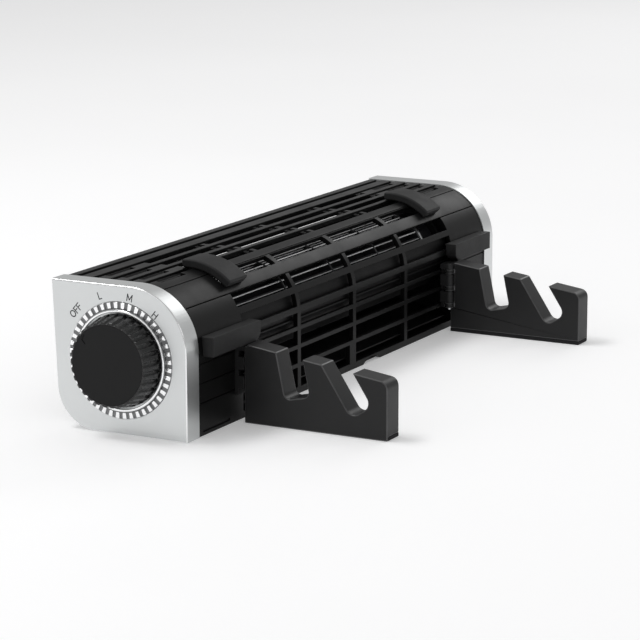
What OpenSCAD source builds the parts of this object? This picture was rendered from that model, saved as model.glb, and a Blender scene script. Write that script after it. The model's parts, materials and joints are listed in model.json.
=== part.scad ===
// Low cross-flow blower with folding slotted feet, a rotary dial and rubber rests.
// X runs along the length with the dial at -X, the outlet grille faces -Y, Z = 0 is the rest plane.

/* [Housing] */
// Length over both end caps
body_length = 361.2; // [320:1:440]
// Depth of the end caps at the rest plane
body_depth = 76; // [70:0.5:88]
// Height of the end caps
body_height = 76; // [70:0.5:88]
// Radius of the large corner at the front top
front_radius = 32; // [30:0.5:34]
// Radius of the corner at the rear bottom
rear_radius = 22; // [16:0.5:26]
// How far the rear face leans out over its height
rear_lean = 2.3; // [0.5:0.1:5]
// Thickness of each end cap along the length
cap_thick = 12.2; // [10:0.1:15]
// Height by which the caps stand out of the housing skin
skin_inset = 0.6; // [0.4:0.1:1.2]
// Wall thickness of the moulded housing
wall = 2.6; // [2.2:0.1:3]

/* [Grille] */
// Half of the open length of the grille rows
open_half = 123.4; // [110:0.2:130]
// Distance between the upright ribs
rib_pitch = 63.5; // [58:0.5:64]
// Width of the upright ribs
rib_w = 3.6; // [2.4:0.2:5]
// Height of the thin cross bars
bar_h = 2.2; // [1.6:0.1:3]
// Distance between the cross bars and between the top slats
row_pitch = 10; // [9.4:0.1:10.4]
// Height of the lowest thin bar above the rest plane
low_bar_z = 14.4; // [12:0.2:15]
// Height of the front bottom beam
beam_h = 3.6; // [3:0.1:5]
// Depth of the long grooves in the top
groove_deep = 1.6; // [0.8:0.1:1.8]

/* [Dial] */
// Height of the dial axis above the rest plane
dial_z = 38; // [34:0.5:42]
// Outer radius of the serrated ring
ring_r = 29.8; // [28:0.1:31]
// Inner radius of the serrated ring and outer radius of the bezel
ring_inner_r = 26; // [25.6:0.1:26.6]
// Number of notches in the serrated ring
ring_teeth = 44; // [30:1:60]
// Radius of the knob at its face
knob_face_r = 21.7; // [20:0.1:22]
// Radius of the knob at its base
knob_base_r = 23.9; // [23:0.1:24.2]
// Distance from the cap's face to the knob's face
knob_reach = 12.6; // [11:0.2:16]
// Number of flutes round the knob
knob_flutes = 30; // [20:1:40]
// Angle of the pointer at the off position, from the rear towards the top
pointer_angle = 39.5; // [30:0.5:50]

/* [Feet] */
// Thickness of each foot bracket
foot_t = 13; // [10:0.2:14]
// Length of each foot from its hinge edge to its front edge
foot_len = 81.1; // [76:0.1:96]
// Height of a foot at its rear edge
foot_h = 41.2; // [38:0.1:41.2]
// X of the inner face of the foot by the dial
near_foot_x = -119; // [-124:0.5:-112]
// X of the inner face of the other foot
far_foot_x = 111; // [100:0.5:124]
// Width of the upright slot
slot1_w = 14.2; // [10:0.2:16]
// Width of the leaning slot
slot2_w = 13.2; // [10:0.2:14.4]
// Lean of the upright slot
slot1_lean = 12; // [8:0.5:14]
// Lean of the leaning slot
slot2_lean = 33.4; // [30:0.5:36]
// Radius of the hinge pins
pin_r = 1.2; // [1:0.05:1.5]

/* [Fan] */
// Outer radius of the fan wheel
fan_r = 25; // [22:0.5:25]
// Number of blades
fan_blades = 36; // [24:1:40]
// X of the end of the fan wheel by the dial
fan_x0 = -116; // [-118:1:-100]
// X of the end of the fan wheel by the motor
fan_x1 = 101; // [80:1:102]
// Radius of the fan shaft
shaft_r = 3; // [2.5:0.1:4]
// Radius of the motor can
motor_r = 21; // [16:0.5:22]

/* [Rubber rests] */
// Distance from the middle of the housing to the middle of each saddle
saddle_x = 114.6; // [90:0.2:118]
// Width of each saddle
saddle_w = 18.6; // [12:0.2:24]
// Height of each saddle above the caps' outline
saddle_t = 4; // [2:0.1:6]
// Length of each bumper
bumper_l = 48; // [30:1:48]
// Height of each bumper
bumper_h = 10; // [8:0.2:11]
// Height of each bumper's lower edge
bumper_z = 40.6; // [40.6:0.1:44]
// How far each bumper stands out of the caps' front
bumper_out = 5.7; // [3:0.1:5.8]

/* [Hidden] */
$fn = 96;
eps = 0.01;
big = 200;
// running clearance of a shaft in its bore, and the small gap left between curved faces
run = 0.05;
fit = 0.05;
gap = 0.3;
half_l = body_length / 2;
half_d = body_depth / 2;
cap_in = half_l - cap_thick;
front_cy = -half_d + front_radius;
front_cz = body_height - front_radius;
rear_cy = half_d - rear_radius;
rear_cz = rear_radius;
lean_a = atan(rear_lean / (body_height - rear_radius));
skin_r = front_radius - skin_inset;
inner = skin_inset + wall;
front_y = -half_d + skin_inset;
top_z = body_height - skin_inset;
// angles of the seams and openings round the front top corner, from straight up
seam_top_a = 20.8;
open_a_from = 22.6;
open_a_to = 35.8;
seam_front_a = 48.9;
open_b_to = 64.6;
bar1_to = 70.9;
// top slats, measured forward from the rear edge of the cap outline
slat_from = 12.7;
groove_w = 3.3;
slot_w = 3.5;
bridge_from = 121.6;
short_from = 135.4;
short_to = 159.6;
// depth of the top cover's lip at the rear
lip_h = 4.6;
// middle rib of the lowest grille row, and the finger notch in the beam below it
mid_rib_from = -5.5;
mid_rib_to = 1.5;
notch_x = 21;
notch_z = -16.5;
notch_r = 19.4;
// grooves in the closed ends of the front
end_groove_h = 0.8;
end_groove_deep = 0.7;
// intake in the rear panel
intake_z = 28;
intake_h = 4;
// cap
cap_plate = 3.4;
cap_edge = 0.8;
dial_floor = 0.8;
dial_step = 0.5;
bush_r = 4.5;
hub_r = 6;
knob_gap = 0.4;
knob_skin = 3;
flute_r = 1.3;
flute_out = 0.45;
face_t = 1;
switch_t = 15;
switch_w = 26;
notch_w = 1.8;
// feet
foot_back = half_d + 4.9;
foot_reach = foot_back + foot_len;
ear_front = foot_back - gap;
pad_back = 2;
barrel_r = 2.6;
pin_off = 1.4;
pin_y = -foot_back + 0.2;
ear_low = 14.2;
ear_z = [[17.6, 24.2], [27.6, 34.2], [37.6, 40.2]];
// bottoms of the slots, measured from the foot's rear edge and from the rest plane
slot1_back = 30.5;
slot1_z = 16.1;
slot1_round = 3.4;
slot2_back = 66.6;
slot2_z = 13.2;
slot2_round = 4.6;
sole_lip = 1.4;
pin_z = [13.4, 40.2];
foot_round = 4.5;
foot_slope = 7.9;
sole_t = 2;
// inside
bulk_x = 127;
bulk_t = 2.6;
motor_x0 = 107;
motor_x1 = 152;
base_t = 2.4;
boss_y = [-22, 8];
boss_h = 9;
screw_r = 1.3;
screw_head_r = 2.8;
inlet_y = 12;
inlet_z = 18;
inlet_r = 5;
board_t = 1.6;
board_y = -30;
board_z = 14;
sheet_t = 0.8;
clamp_t = 4;
tongue_gap = 1.6;
tongue_from = 70;
tongue_to = 128;

black = [0.07, 0.07, 0.075];
silver = [0.78, 0.79, 0.8];
steel = [0.7, 0.71, 0.73];
rubber = [0.12, 0.12, 0.125];

// extrudes a profile drawn as (Y, Z) between two places on X
module along_x(x0, x1) {
    translate([x0, 0, 0]) rotate([90, 0, 90]) linear_extrude(x1 - x0) children();
}

// a round bar on X
module rod_x(x0, x1, r, y, z) {
    translate([x0, y, z]) rotate([0, 90, 0]) cylinder(h = x1 - x0, r = r);
}

// a ring on X
module tube_x(x0, x1, ro, ri, y, z) {
    difference() {
        rod_x(x0, x1, ro, y, z);
        rod_x(x0 - 1, x1 + 1, ri, y, z);
    }
}

// the leaf outline of the end caps, drawn in by g
module leaf(g) {
    r = rear_radius - g;
    ty = rear_cy + r * cos(lean_a);
    tz = rear_cz - r * sin(lean_a);
    zt = body_height - g;
    difference() {
        union() {
            polygon([[-half_d + g, g], [rear_cy, g], [ty, tz], [ty + (zt - tz) * tan(lean_a), zt],
                [-half_d + g, zt]]);
            translate([rear_cy, rear_cz]) circle(r);
        }
        difference() {
            translate([-half_d - 1, front_cz]) square([front_radius + 1, front_radius + 1]);
            translate([front_cy, front_cz]) circle(front_radius - g);
        }
    }
}

module skin_ring() {
    difference() {
        leaf(skin_inset);
        leaf(inner);
    }
}

// a wedge round the front top corner's centre, between two angles from straight up
module wedge(a0, a1, r = 60) {
    translate([front_cy, front_cz])
        polygon([[0, 0], [-r * sin(a0), r * cos(a0)], [-r * sin((a0 + a1) / 2), r * cos((a0 + a1) / 2)] * 1.1,
            [-r * sin(a1), r * cos(a1)]]);
}

// the four open bays of a grille row, left by ribs of width w
module bays(w = rib_w) {
    for (i = [0:3]) {
        x0 = i == 0 ? -open_half : (i - 2) * rib_pitch + w / 2;
        x1 = i == 3 ? open_half : (i - 1) * rib_pitch - w / 2;
        along_x(x0, x1) children();
    }
}

// one end cap drawn at the dial end
module cap_shell() {
    along_x(-half_l + cap_edge, -half_l + cap_plate) leaf(0);
    along_x(-half_l, -half_l + cap_edge + eps) leaf(0.5);
    along_x(-half_l + cap_plate - eps, -cap_in) difference() {
        leaf(0);
        leaf(inner);
    }
}

module knob_end_cap() {
    color(silver) difference() {
        cap_shell();
        rod_x(-half_l - 1, -half_l + dial_step, ring_r + 2 * fit, 0, dial_z);
        rod_x(-half_l - 1, -half_l + dial_floor, ring_inner_r, 0, dial_z);
        rod_x(-half_l - 1, -half_l + cap_plate + 1, bush_r + fit, 0, dial_z);
    }
}

module far_end_cap() {
    color(silver) difference() {
        mirror([1, 0, 0]) cap_shell();
        rod_x(half_l - cap_plate - 1, half_l + 1, inlet_r + fit, inlet_y, inlet_z);
    }
}

// serrated ring round the knob
module dial_ring() {
    color(silver) difference() {
        tube_x(-half_l - 0.8, -half_l + dial_step, ring_r, ring_inner_r + fit, 0, dial_z);
        for (i = [0:ring_teeth - 1])
            translate([-half_l, 0, dial_z]) rotate([i * 360 / ring_teeth, 0, 0])
                translate([-0.8 - eps, ring_inner_r + 0.5, -notch_w / 2]) cube([1, 5, notch_w]);
    }
}

// polished bezel that stands between the ring and the knob
module dial_bezel() {
    color(silver) tube_x(-half_l - 1.6, -half_l + dial_floor, ring_inner_r, ring_inner_r - 1.4, 0, dial_z);
}

knob_x0 = -half_l - knob_reach;
knob_x1 = -half_l - knob_gap;

module knob_blank() {
    translate([knob_x0, 0, dial_z]) rotate([0, 90, 0])
        cylinder(h = knob_x1 - knob_x0, r1 = knob_face_r, r2 = knob_base_r);
}

// fluted knob, hollow behind, with a hub on the switch shaft
module knob() {
    side_a = atan((knob_base_r - knob_face_r) / (knob_x1 - knob_x0));
    color(black) difference() {
        union() {
            difference() {
                knob_blank();
                rod_x(knob_x0 + knob_skin, knob_x1 + 1, knob_face_r - knob_skin - 0.2, 0, dial_z);
            }
            rod_x(knob_x0 + 2, knob_x1 - knob_skin - 0.2, hub_r, 0, dial_z);
        }
        for (i = [0:knob_flutes - 1])
            translate([knob_x0, 0, dial_z]) rotate([i * 360 / knob_flutes, 0, 0])
                translate([0, 0, knob_face_r + flute_out]) rotate([0, 90 - side_a, 0])
                    translate([0, 0, -2]) cylinder(h = knob_x1 - knob_x0 + 4, r = flute_r, $fn = 24);
        rod_x(knob_x0 - 1, knob_x0 + face_t, knob_face_r - 1.2, 0, dial_z);
        rod_x(knob_x0 + 2, knob_x1 + 1, shaft_r, 0, dial_z);
    }
}

// flat disc let into the knob, with an engraved chevron
module knob_face() {
    color(black) difference() {
        rod_x(knob_x0, knob_x0 + face_t, knob_face_r - 1.2 - fit, 0, dial_z);
        translate([knob_x0, 0, dial_z]) rotate([pointer_angle, 0, 0]) translate([0, 18.6, 0])
            for (s = [-1, 1])
                rotate([-pointer_angle - 5 + s * 56, 0, 0])
                    translate([-1, -2.8, -0.35]) cube([1.4, 3.1, 0.7]);
    }
}

module switch_shaft() {
    color(steel) rod_x(knob_x0 + 2.2, -half_l + switch_t + 1, shaft_r, 0, dial_z);
}

// rotary switch behind the cap, with a neck through it
module switch_body() {
    color(black) difference() {
        union() {
            translate([-half_l + cap_plate, -switch_w / 2, dial_z - switch_w / 2])
                cube([switch_t, switch_w, switch_w]);
            rod_x(-half_l - 2.9, -half_l + cap_plate + 1, bush_r, 0, dial_z);
        }
        rod_x(-half_l - 4, -half_l + switch_t + 2, shaft_r + run, 0, dial_z);
        translate([-half_l + switch_t + 1, -1, dial_z + shaft_r]) cube([5, 2, 14]);
    }
}

module switch_nut() {
    color(steel) difference() {
        translate([-half_l - 1.7, 0, dial_z]) rotate([0, 90, 0])
            cylinder(h = 1.7 + dial_floor, r = 6.6, $fn = 6);
        rod_x(-half_l - 3, -half_l + 2, bush_r, 0, dial_z);
    }
}

// slatted top with its rear lip
module top_cover() {
    color(black) difference() {
        along_x(-cap_in, cap_in) intersection() {
            skin_ring();
            polygon([[front_cy, front_cz], [front_cy - 90 * sin(seam_top_a), front_cz + 90 * cos(seam_top_a)],
                [60, body_height + 60], [60, top_z - lip_h], [front_cy, top_z - lip_h]]);
        }
        translate([-cap_in - 1, half_d - 6, top_z - groove_deep]) cube([2 * cap_in + 2, groove_w, 9]);
        for (k = [0:3]) {
            y = half_d - slat_from - k * row_pitch;
            translate([-cap_in - 1, y - groove_w, top_z - groove_deep]) cube([2 * cap_in + 2, groove_w, 9]);
            for (i = [0:3]) {
                x0 = i == 0 ? -bridge_from : (i - 2) * rib_pitch + rib_w / 2;
                x1 = i == 3 ? bridge_from : (i - 1) * rib_pitch - rib_w / 2;
                translate([x0, y - groove_w - slot_w, top_z - 10]) cube([x1 - x0, groove_w + slot_w, 20]);
            }
            for (s = [0, 1]) mirror([s, 0, 0])
                translate([short_from, y - groove_w - slot_w, top_z - 10])
                    cube([short_to - short_from, slot_w, 20]);
        }
    }
}

// smooth band over the corner, open above the fan
module shoulder_cover() {
    color(black) difference() {
        along_x(-cap_in, cap_in) intersection() {
            skin_ring();
            wedge(seam_top_a + 0.9, seam_front_a);
        }
        bays(rib_w + 0.8) wedge(open_a_from, open_a_to);
    }
}

// front of the housing with the outlet rows and the bottom beam
module front_grille() {
    color(black) difference() {
        along_x(-cap_in, cap_in) intersection() {
            skin_ring();
            union() {
                wedge(seam_front_a + 0.9, 90 + eps);
                translate([-half_d - 5, 0]) square([half_d + 5 + front_y + wall + 0.2, front_cz]);
            }
        }
        bays() wedge(seam_front_a, open_b_to);
        bays() wedge(bar1_to, 84);
        for (k = [0:2])
            bays() translate([-half_d - 5, low_bar_z + bar_h + k * row_pitch])
                square([12, row_pitch - bar_h]);
        difference() {
            bays() translate([-half_d - 5, beam_h]) square([12, low_bar_z - beam_h]);
            translate([mid_rib_from, -half_d - 6, 0]) cube([mid_rib_to - mid_rib_from, 14, low_bar_z]);
        }
        for (s = [0, 1]) mirror([s, 0, 0])
            for (k = [1:3])
                translate([open_half + 1, front_y - 1, low_bar_z + bar_h + (k - 1) * row_pitch])
                    cube([cap_in - open_half + 5, 1 + end_groove_deep, end_groove_h]);
        translate([notch_x, front_y + 4, notch_z]) rotate([90, 0, 0]) cylinder(h = 12, r = notch_r);
    }
}

// leaning back panel with an intake
module rear_panel() {
    color(black) difference() {
        along_x(-cap_in, cap_in) intersection() {
            skin_ring();
            translate([rear_cy, -1]) square([half_d, top_z - lip_h - gap + 1]);
        }
        for (k = [0:3])
            for (i = [0:3]) {
                x0 = i == 0 ? -open_half : (i - 2) * rib_pitch + rib_w / 2;
                x1 = i == 3 ? open_half : (i - 1) * rib_pitch - rib_w / 2;
                translate([x0, half_d - 8, intake_z + k * row_pitch]) cube([x1 - x0, 20, intake_h]);
            }
    }
}

// floor of the housing, the face that it rests on
module base_plate() {
    color(black) difference() {
        translate([-cap_in, front_y + wall + 0.6, 0])
            cube([2 * cap_in, rear_cy - front_y - wall - 0.6 - gap, base_t]);
        base_screw_places() {
            translate([0, 0, -1]) cylinder(h = base_t + 2, r = screw_r + 0.3);
            translate([0, 0, -1]) cylinder(h = 2.3, r = screw_head_r + 0.3);
        }
    }
}

module base_screw_places() {
    for (x = [-1, 1])
        for (y = boss_y)
            translate([x * (bulk_x + bulk_t + 3), y, 0]) children();
}

module base_screws() {
    color(steel) base_screw_places() difference() {
        union() {
            translate([0, 0, base_t]) cylinder(h = boss_h - 3, r = screw_r);
            translate([0, 0, 1.3]) cylinder(h = base_t - 1.3 + eps, r = screw_r);
            translate([0, 0, 0.3]) cylinder(h = 1, r = screw_head_r);
        }
        translate([-2, -0.35, 0]) cube([4, 0.7, 0.7]);
        translate([-0.35, -2, 0]) cube([0.7, 4, 0.7]);
    }
}

// wall across the housing at the dial end
module bulkhead() {
    difference() {
        union() {
            along_x(bulk_x, bulk_x + bulk_t) union() {
                leaf(inner + fit);
                translate([front_y + wall + 2, base_t]) square([rear_cy - front_y - wall - 4, 6]);
            }
            for (y = boss_y)
                translate([bulk_x + bulk_t - eps, y - 3.5, base_t]) cube([6.5, 7, boss_h - base_t]);
        }
        for (y = boss_y)
            translate([bulk_x + bulk_t + 3, y, base_t - 1]) cylinder(h = boss_h - 2, r = screw_r);
    }
}

module near_bulkhead() {
    color(black) difference() {
        mirror([1, 0, 0]) bulkhead();
        rod_x(-bulk_x - bulk_t - 1, -bulk_x + 1, 8, front_cy, front_cz);
    }
}

module far_bulkhead() {
    color(black) difference() {
        bulkhead();
        rod_x(bulk_x - 1, bulk_x + bulk_t + 1, motor_r + 1, front_cy, front_cz);
    }
}

// scroll behind the wheel and the duct floor that leads to the front
module scroll_guide() {
    r = fan_r + 5;
    color(black) along_x(-bulk_x, bulk_x) difference() {
        union() {
            intersection() {
                difference() {
                    translate([front_cy + 2, front_cz - 2]) circle(r + sheet_t);
                    translate([front_cy + 2, front_cz - 2]) circle(r);
                }
                polygon([[front_cy + 2, front_cz - 2], [60, 80], [60, -30], [front_cy + 2, -30]]);
            }
            polygon([[front_cy + 2.4, front_cz - 2 - r - sheet_t], [front_cy + 2.4, front_cz - 2 - r],
                [front_y + wall + 1, 7], [front_y + wall + 1, 6.2]]);
        }
        translate([front_cy + 2, front_cz - 2]) circle(r);
    }
}

// lip in front of the wheel that parts the intake from the outlet
module tongue_guide() {
    r = max(fan_r, motor_r + clamp_t) + tongue_gap;
    color([0.2, 0.2, 0.21]) along_x(-bulk_x, bulk_x) union() {
        intersection() {
            difference() {
                translate([front_cy, front_cz]) circle(r + 1);
                translate([front_cy, front_cz]) circle(r);
            }
            wedge(tongue_from, tongue_to);
        }
        intersection() {
            translate([front_y + wall + fit, front_cz - 4.9]) square([front_cy - front_y - wall, 1]);
            difference() {
                translate([front_y, front_cz - 8]) square([30, 16]);
                translate([front_cy, front_cz]) circle(r + 0.5);
            }
        }
    }
}

module fan_blade() {
    intersection() {
        difference() {
            translate([fan_r - 4.5, 5.2]) circle(6.4, $fn = 48);
            translate([fan_r - 4.5, 5.2]) circle(5.8, $fn = 48);
        }
        translate([fan_r - 8, -2]) square([7.6, 7]);
    }
}

// wheel of long curved blades between discs
module fan_wheel() {
    color(silver) translate([0, front_cy, front_cz]) {
        translate([fan_x0, 0, 0]) rotate([90, 0, 90]) linear_extrude(fan_x1 - fan_x0)
            for (i = [0:fan_blades - 1])
                rotate([0, 0, i * 360 / fan_blades]) fan_blade();
        for (k = [0:4])
            translate([fan_x0 + k * (fan_x1 - fan_x0 - 1.2) / 4, 0, 0]) rotate([0, 90, 0]) difference() {
                cylinder(h = 1.2, r = fan_r);
                translate([0, 0, -1]) cylinder(h = 4, r = k == 0 || k == 4 ? shaft_r : fan_r - 9);
            }
    }
}

module fan_shaft() {
    color(steel) {
        rod_x(-bulk_x - bulk_t, fan_x0 + 1.2, shaft_r, front_cy, front_cz);
        rod_x(fan_x1 - 1.2, motor_x0 + 12, shaft_r, front_cy, front_cz);
    }
}

module bearing_holder() {
    color(black) union() {
        tube_x(-bulk_x, -bulk_x + 5, 12, 8, front_cy, front_cz);
        tube_x(-bulk_x - bulk_t, -bulk_x + eps, 8, 6.5, front_cy, front_cz);
    }
}

module bearing_bush() {
    color(rubber) union() {
        tube_x(-bulk_x - bulk_t, -bulk_x + 5, 6.5, shaft_r + run, front_cy, front_cz);
        tube_x(-bulk_x + 2, -bulk_x + 5, 8, 6.5 - eps, front_cy, front_cz);
    }
}

module motor_can() {
    color(black) difference() {
        rod_x(motor_x0 + 2, motor_x1, motor_r, front_cy, front_cz);
        rod_x(motor_x0, motor_x0 + 14, shaft_r + run, front_cy, front_cz);
    }
}

module motor_face() {
    color(steel) tube_x(motor_x0, motor_x0 + 2, motor_r + 1.2, shaft_r + 2, front_cy, front_cz);
}

module motor_clamp() {
    color(black) tube_x(bulk_x - clamp_t, bulk_x, motor_r + clamp_t, motor_r, front_cy, front_cz);
}

// board on the dial side of the near bulkhead
module control_board() {
    color([0.1, 0.3, 0.18]) translate([-bulk_x - bulk_t - board_t, board_y, board_z]) cube([board_t, 22, 40]);
}

module board_parts() {
    x = -bulk_x - bulk_t - board_t;
    color([0.15, 0.15, 0.16]) {
        translate([x - 12, -28, 40]) cube([12, 14, 11]);
        translate([x - 8, -28, 26]) cube([8, 8, 10]);
        rod_x(x - 14, x, 4.5, -14, 31);
        rod_x(x - 10, x, 3.5, -14, 20);
    }
}

// round power inlet in the far end cap
module power_inlet() {
    color(black) difference() {
        union() {
            rod_x(half_l - 13, half_l - 0.4, inlet_r, inlet_y, inlet_z);
            rod_x(half_l - 13, half_l - cap_plate, inlet_r + 2, inlet_y, inlet_z);
        }
        rod_x(half_l - 10, half_l + 1, 2.8, inlet_y, inlet_z);
        rod_x(half_l - 12, half_l - 9, 1, inlet_y, inlet_z);
    }
}

module inlet_pin() {
    color(steel) rod_x(half_l - 12, half_l - 1.5, 1, inlet_y, inlet_z);
}

// rubber saddle over the front top corner
module saddle(x) {
    color(rubber) along_x(x - saddle_w / 2, x + saddle_w / 2) difference() {
        intersection() {
            translate([front_cy, front_cz]) circle(front_radius + saddle_t);
            wedge(-7, 43);
        }
        leaf(skin_inset - fit);
    }
}

module near_saddle() {
    saddle(-saddle_x);
}

module far_saddle() {
    saddle(saddle_x);
}

// rubber bumper on the front face, cut back below its inner end
module bumper() {
    x0 = cap_in - 4.4 - bumper_l;
    color(rubber) difference() {
        along_x(x0, x0 + bumper_l) difference() {
            translate([-half_d - bumper_out, bumper_z]) square([bumper_out + 8, bumper_h]);
            leaf(skin_inset - fit);
        }
        translate([x0, 0, bumper_z]) rotate([0, 45, 0]) cube([4.6, 2 * big, 4.6], center = true);
    }
}

module near_bumper() {
    mirror([1, 0, 0]) bumper();
}

module far_bumper() {
    bumper();
}

// a round-bottomed slot in (Y, Z), from its bottom's middle
module foot_slot(y, z, w, lean, r) {
    translate([y, z]) rotate(-lean) {
        translate([-w / 2, r]) square([w, 60]);
        translate([-w / 2 + r, 0]) square([w - 2 * r, 60]);
        for (s = [-1, 1]) translate([s * (w / 2 - r), r]) circle(r);
    }
}

module foot_outline() {
    cy = -foot_reach + foot_round;
    cz = foot_h - (foot_reach - foot_round - foot_back) * tan(foot_slope) - foot_round / cos(foot_slope);
    difference() {
        union() {
            polygon([[-foot_back, 0], [-foot_back, foot_h],
                [cy - foot_round * sin(foot_slope), cz + foot_round * cos(foot_slope)],
                [cy, cz], [-foot_reach, cz], [-foot_reach, 0]]);
            translate([cy, cz]) circle(foot_round);
        }
        foot_slot(-foot_back - slot1_back, slot1_z, slot1_w, slot1_lean, slot1_round);
        foot_slot(-foot_back - slot2_back, slot2_z, slot2_w, slot2_lean, slot2_round);
        translate([-foot_back - 1.6, foot_h - 1.2]) square([4, 4]);
    }
}

// foot bracket: s points from its inner face to its outer face
module foot(xi, s) {
    x0 = min(xi, xi + s * foot_t);
    px = xi - s * pin_off;
    levels = [[ear_z[0][1], ear_z[1][0]], [ear_z[1][1], ear_z[2][0]], [ear_low, ear_z[0][0]]];
    color(black) difference() {
        union() {
            difference() {
                along_x(x0, x0 + foot_t) foot_outline();
                translate([px, pin_y, ear_low]) cylinder(h = 40, r = barrel_r + gap);
                translate([x0 + (s > 0 ? -1 : sole_lip), -foot_reach - 1, -1])
                    cube([foot_t - sole_lip + 1, foot_len + 50, sole_t + 1]);
            }
            for (l = levels)
                translate([0, 0, l[0] + gap / 2]) {
                    translate([px, pin_y, 0]) cylinder(h = l[1] - l[0] - gap, r = barrel_r);
                    translate([min(px, px + s * (barrel_r + 1)), pin_y - barrel_r, 0])
                        cube([barrel_r + 1, barrel_r, l[1] - l[0] - gap]);
                }
        }
        translate([px, pin_y, 0]) cylinder(h = 60, r = pin_r + run);
    }
}

module near_foot() {
    foot(near_foot_x, -1);
}

module far_foot() {
    foot(far_foot_x, 1);
}

// rubber sole let into the bottom of a foot
module foot_sole(xi, s) {
    x0 = min(xi, xi + s * foot_t);
    color(rubber) translate([x0 + (s > 0 ? 0 : sole_lip), -foot_reach, 0])
        cube([foot_t - sole_lip, foot_len, sole_t]);
}

module near_foot_sole() {
    foot_sole(near_foot_x, -1);
}

module far_foot_sole() {
    foot_sole(far_foot_x, 1);
}

// plate with three ears on the front of the housing
module hinge_bracket(xi, s) {
    px = xi - s * pin_off;
    x0 = min(px, xi + s * foot_t);
    w = foot_t + pin_off;
    color(black) difference() {
        union() {
            translate([x0, -half_d - 1.4, ear_low]) cube([w, pad_back, ear_z[2][1] - ear_low]);
            for (e = ear_z) {
                translate([x0, -ear_front, e[0]]) cube([w, ear_front - half_d, e[1] - e[0]]);
                translate([px, pin_y, e[0]]) cylinder(h = e[1] - e[0], r = barrel_r);
                translate([px - barrel_r, pin_y, e[0]])
                    cube([2 * barrel_r, -pin_y - half_d, e[1] - e[0]]);
            }
        }
        translate([px, pin_y, 0]) cylinder(h = 60, r = pin_r);
    }
}

module near_hinge_bracket() {
    hinge_bracket(near_foot_x, -1);
}

module far_hinge_bracket() {
    hinge_bracket(far_foot_x, 1);
}

module hinge_pins() {
    color(steel)
        for (x = [near_foot_x + pin_off, far_foot_x - pin_off])
            translate([x, pin_y, pin_z[0]]) cylinder(h = pin_z[1] - pin_z[0], r = pin_r);
}

knob_end_cap();
far_end_cap();
dial_ring();
dial_bezel();
knob();
knob_face();
switch_shaft();
switch_body();
switch_nut();
top_cover();
shoulder_cover();
front_grille();
rear_panel();
base_plate();
near_bulkhead();
far_bulkhead();
scroll_guide();
tongue_guide();
fan_wheel();
fan_shaft();
bearing_holder();
bearing_bush();
motor_can();
motor_face();
motor_clamp();
control_board();
board_parts();
power_inlet();
inlet_pin();
near_saddle();
far_saddle();
near_bumper();
far_bumper();
near_foot();
far_foot();
near_foot_sole();
far_foot_sole();
near_hinge_bracket();
far_hinge_bracket();
hinge_pins();
base_screws();
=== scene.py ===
import json
import math

import bmesh
import bpy
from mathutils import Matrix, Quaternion, Vector


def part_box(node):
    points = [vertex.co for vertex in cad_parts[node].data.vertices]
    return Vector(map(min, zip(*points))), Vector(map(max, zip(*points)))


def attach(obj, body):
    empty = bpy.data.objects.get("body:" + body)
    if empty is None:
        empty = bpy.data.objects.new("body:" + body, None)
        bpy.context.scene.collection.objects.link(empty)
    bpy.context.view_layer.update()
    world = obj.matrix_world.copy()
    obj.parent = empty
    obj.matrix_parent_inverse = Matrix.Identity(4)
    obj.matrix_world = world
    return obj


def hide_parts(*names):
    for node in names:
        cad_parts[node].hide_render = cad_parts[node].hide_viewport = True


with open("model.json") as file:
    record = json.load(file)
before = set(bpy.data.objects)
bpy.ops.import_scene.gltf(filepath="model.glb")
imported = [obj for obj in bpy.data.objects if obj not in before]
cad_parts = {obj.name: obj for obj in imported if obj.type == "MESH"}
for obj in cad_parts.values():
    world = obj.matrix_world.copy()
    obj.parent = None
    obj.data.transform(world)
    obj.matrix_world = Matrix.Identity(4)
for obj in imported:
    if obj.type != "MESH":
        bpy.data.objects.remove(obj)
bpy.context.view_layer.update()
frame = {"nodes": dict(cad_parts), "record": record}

bl_info = {
    "name": "Cross-flow Blower Finishing",
    "version": (1, 0, 0),
    "blender": (4, 5, 0),
    "location": "3D View > Sidebar > Blower",
    "description": "Finishes the blower's caps, dial, housing, feet and fan around its frame",
    "category": "Object",
}

MM = 0.001

# Angles round the housing's front corner, in degrees from its top towards the front.
TOP_END = 20.8
SHOULDER_FROM, SHOULDER_TO = 21.7, 48.9
WINDOW_FROM, WINDOW_TO = 22.6, 35.8
GRILLE_FROM, UPPER_ROW_TO = 49.8, 64.6
LOWER_ROW_FROM, LOWER_ROW_TO = 70.9, 84
CORNER_END = 90

# Edges sharper than this many degrees are rounded; flatter than the second, they are dissolved.
MOULDED_EDGE, FLAT_EDGE = 34, 0.4
TURNED_EDGE, RING_EDGE = 40, 50
RING_STEPS = 176

near_cap_low, near_cap_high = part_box("knob_end_cap")
far_cap_low, far_cap_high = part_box("far_end_cap")
ring_low, ring_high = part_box("dial_ring")
bezel_low, bezel_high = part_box("dial_bezel")
knob_low, knob_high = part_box("knob")
wheel_low, wheel_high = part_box("fan_wheel")
socket_low, socket_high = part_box("power_inlet")

HALF_LENGTH = far_cap_high.x
HALF_DEPTH = -near_cap_low.y
HEIGHT = near_cap_high.z
CAP_INNER_X = far_cap_low.x
DIAL_Z = (ring_low.z + ring_high.z) / 2
RING_RADIUS = (ring_high.z - ring_low.z) / 2
BEZEL_RADIUS = (bezel_high.z - bezel_low.z) / 2
WHEEL_RADIUS = (wheel_high.z - wheel_low.z) / 2
WHEEL_AXIS = Vector((0, (wheel_low.y + wheel_high.y) / 2, (wheel_low.z + wheel_high.z) / 2))
INLET_Y = (socket_low.y + socket_high.y) / 2
INLET_Z = (socket_low.z + socket_high.z) / 2


def length(name, text, default):
    return bpy.props.FloatProperty(
        name=name, description=text, default=default, min=0.0, subtype="DISTANCE", unit="LENGTH", precision=5
    )


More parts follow.
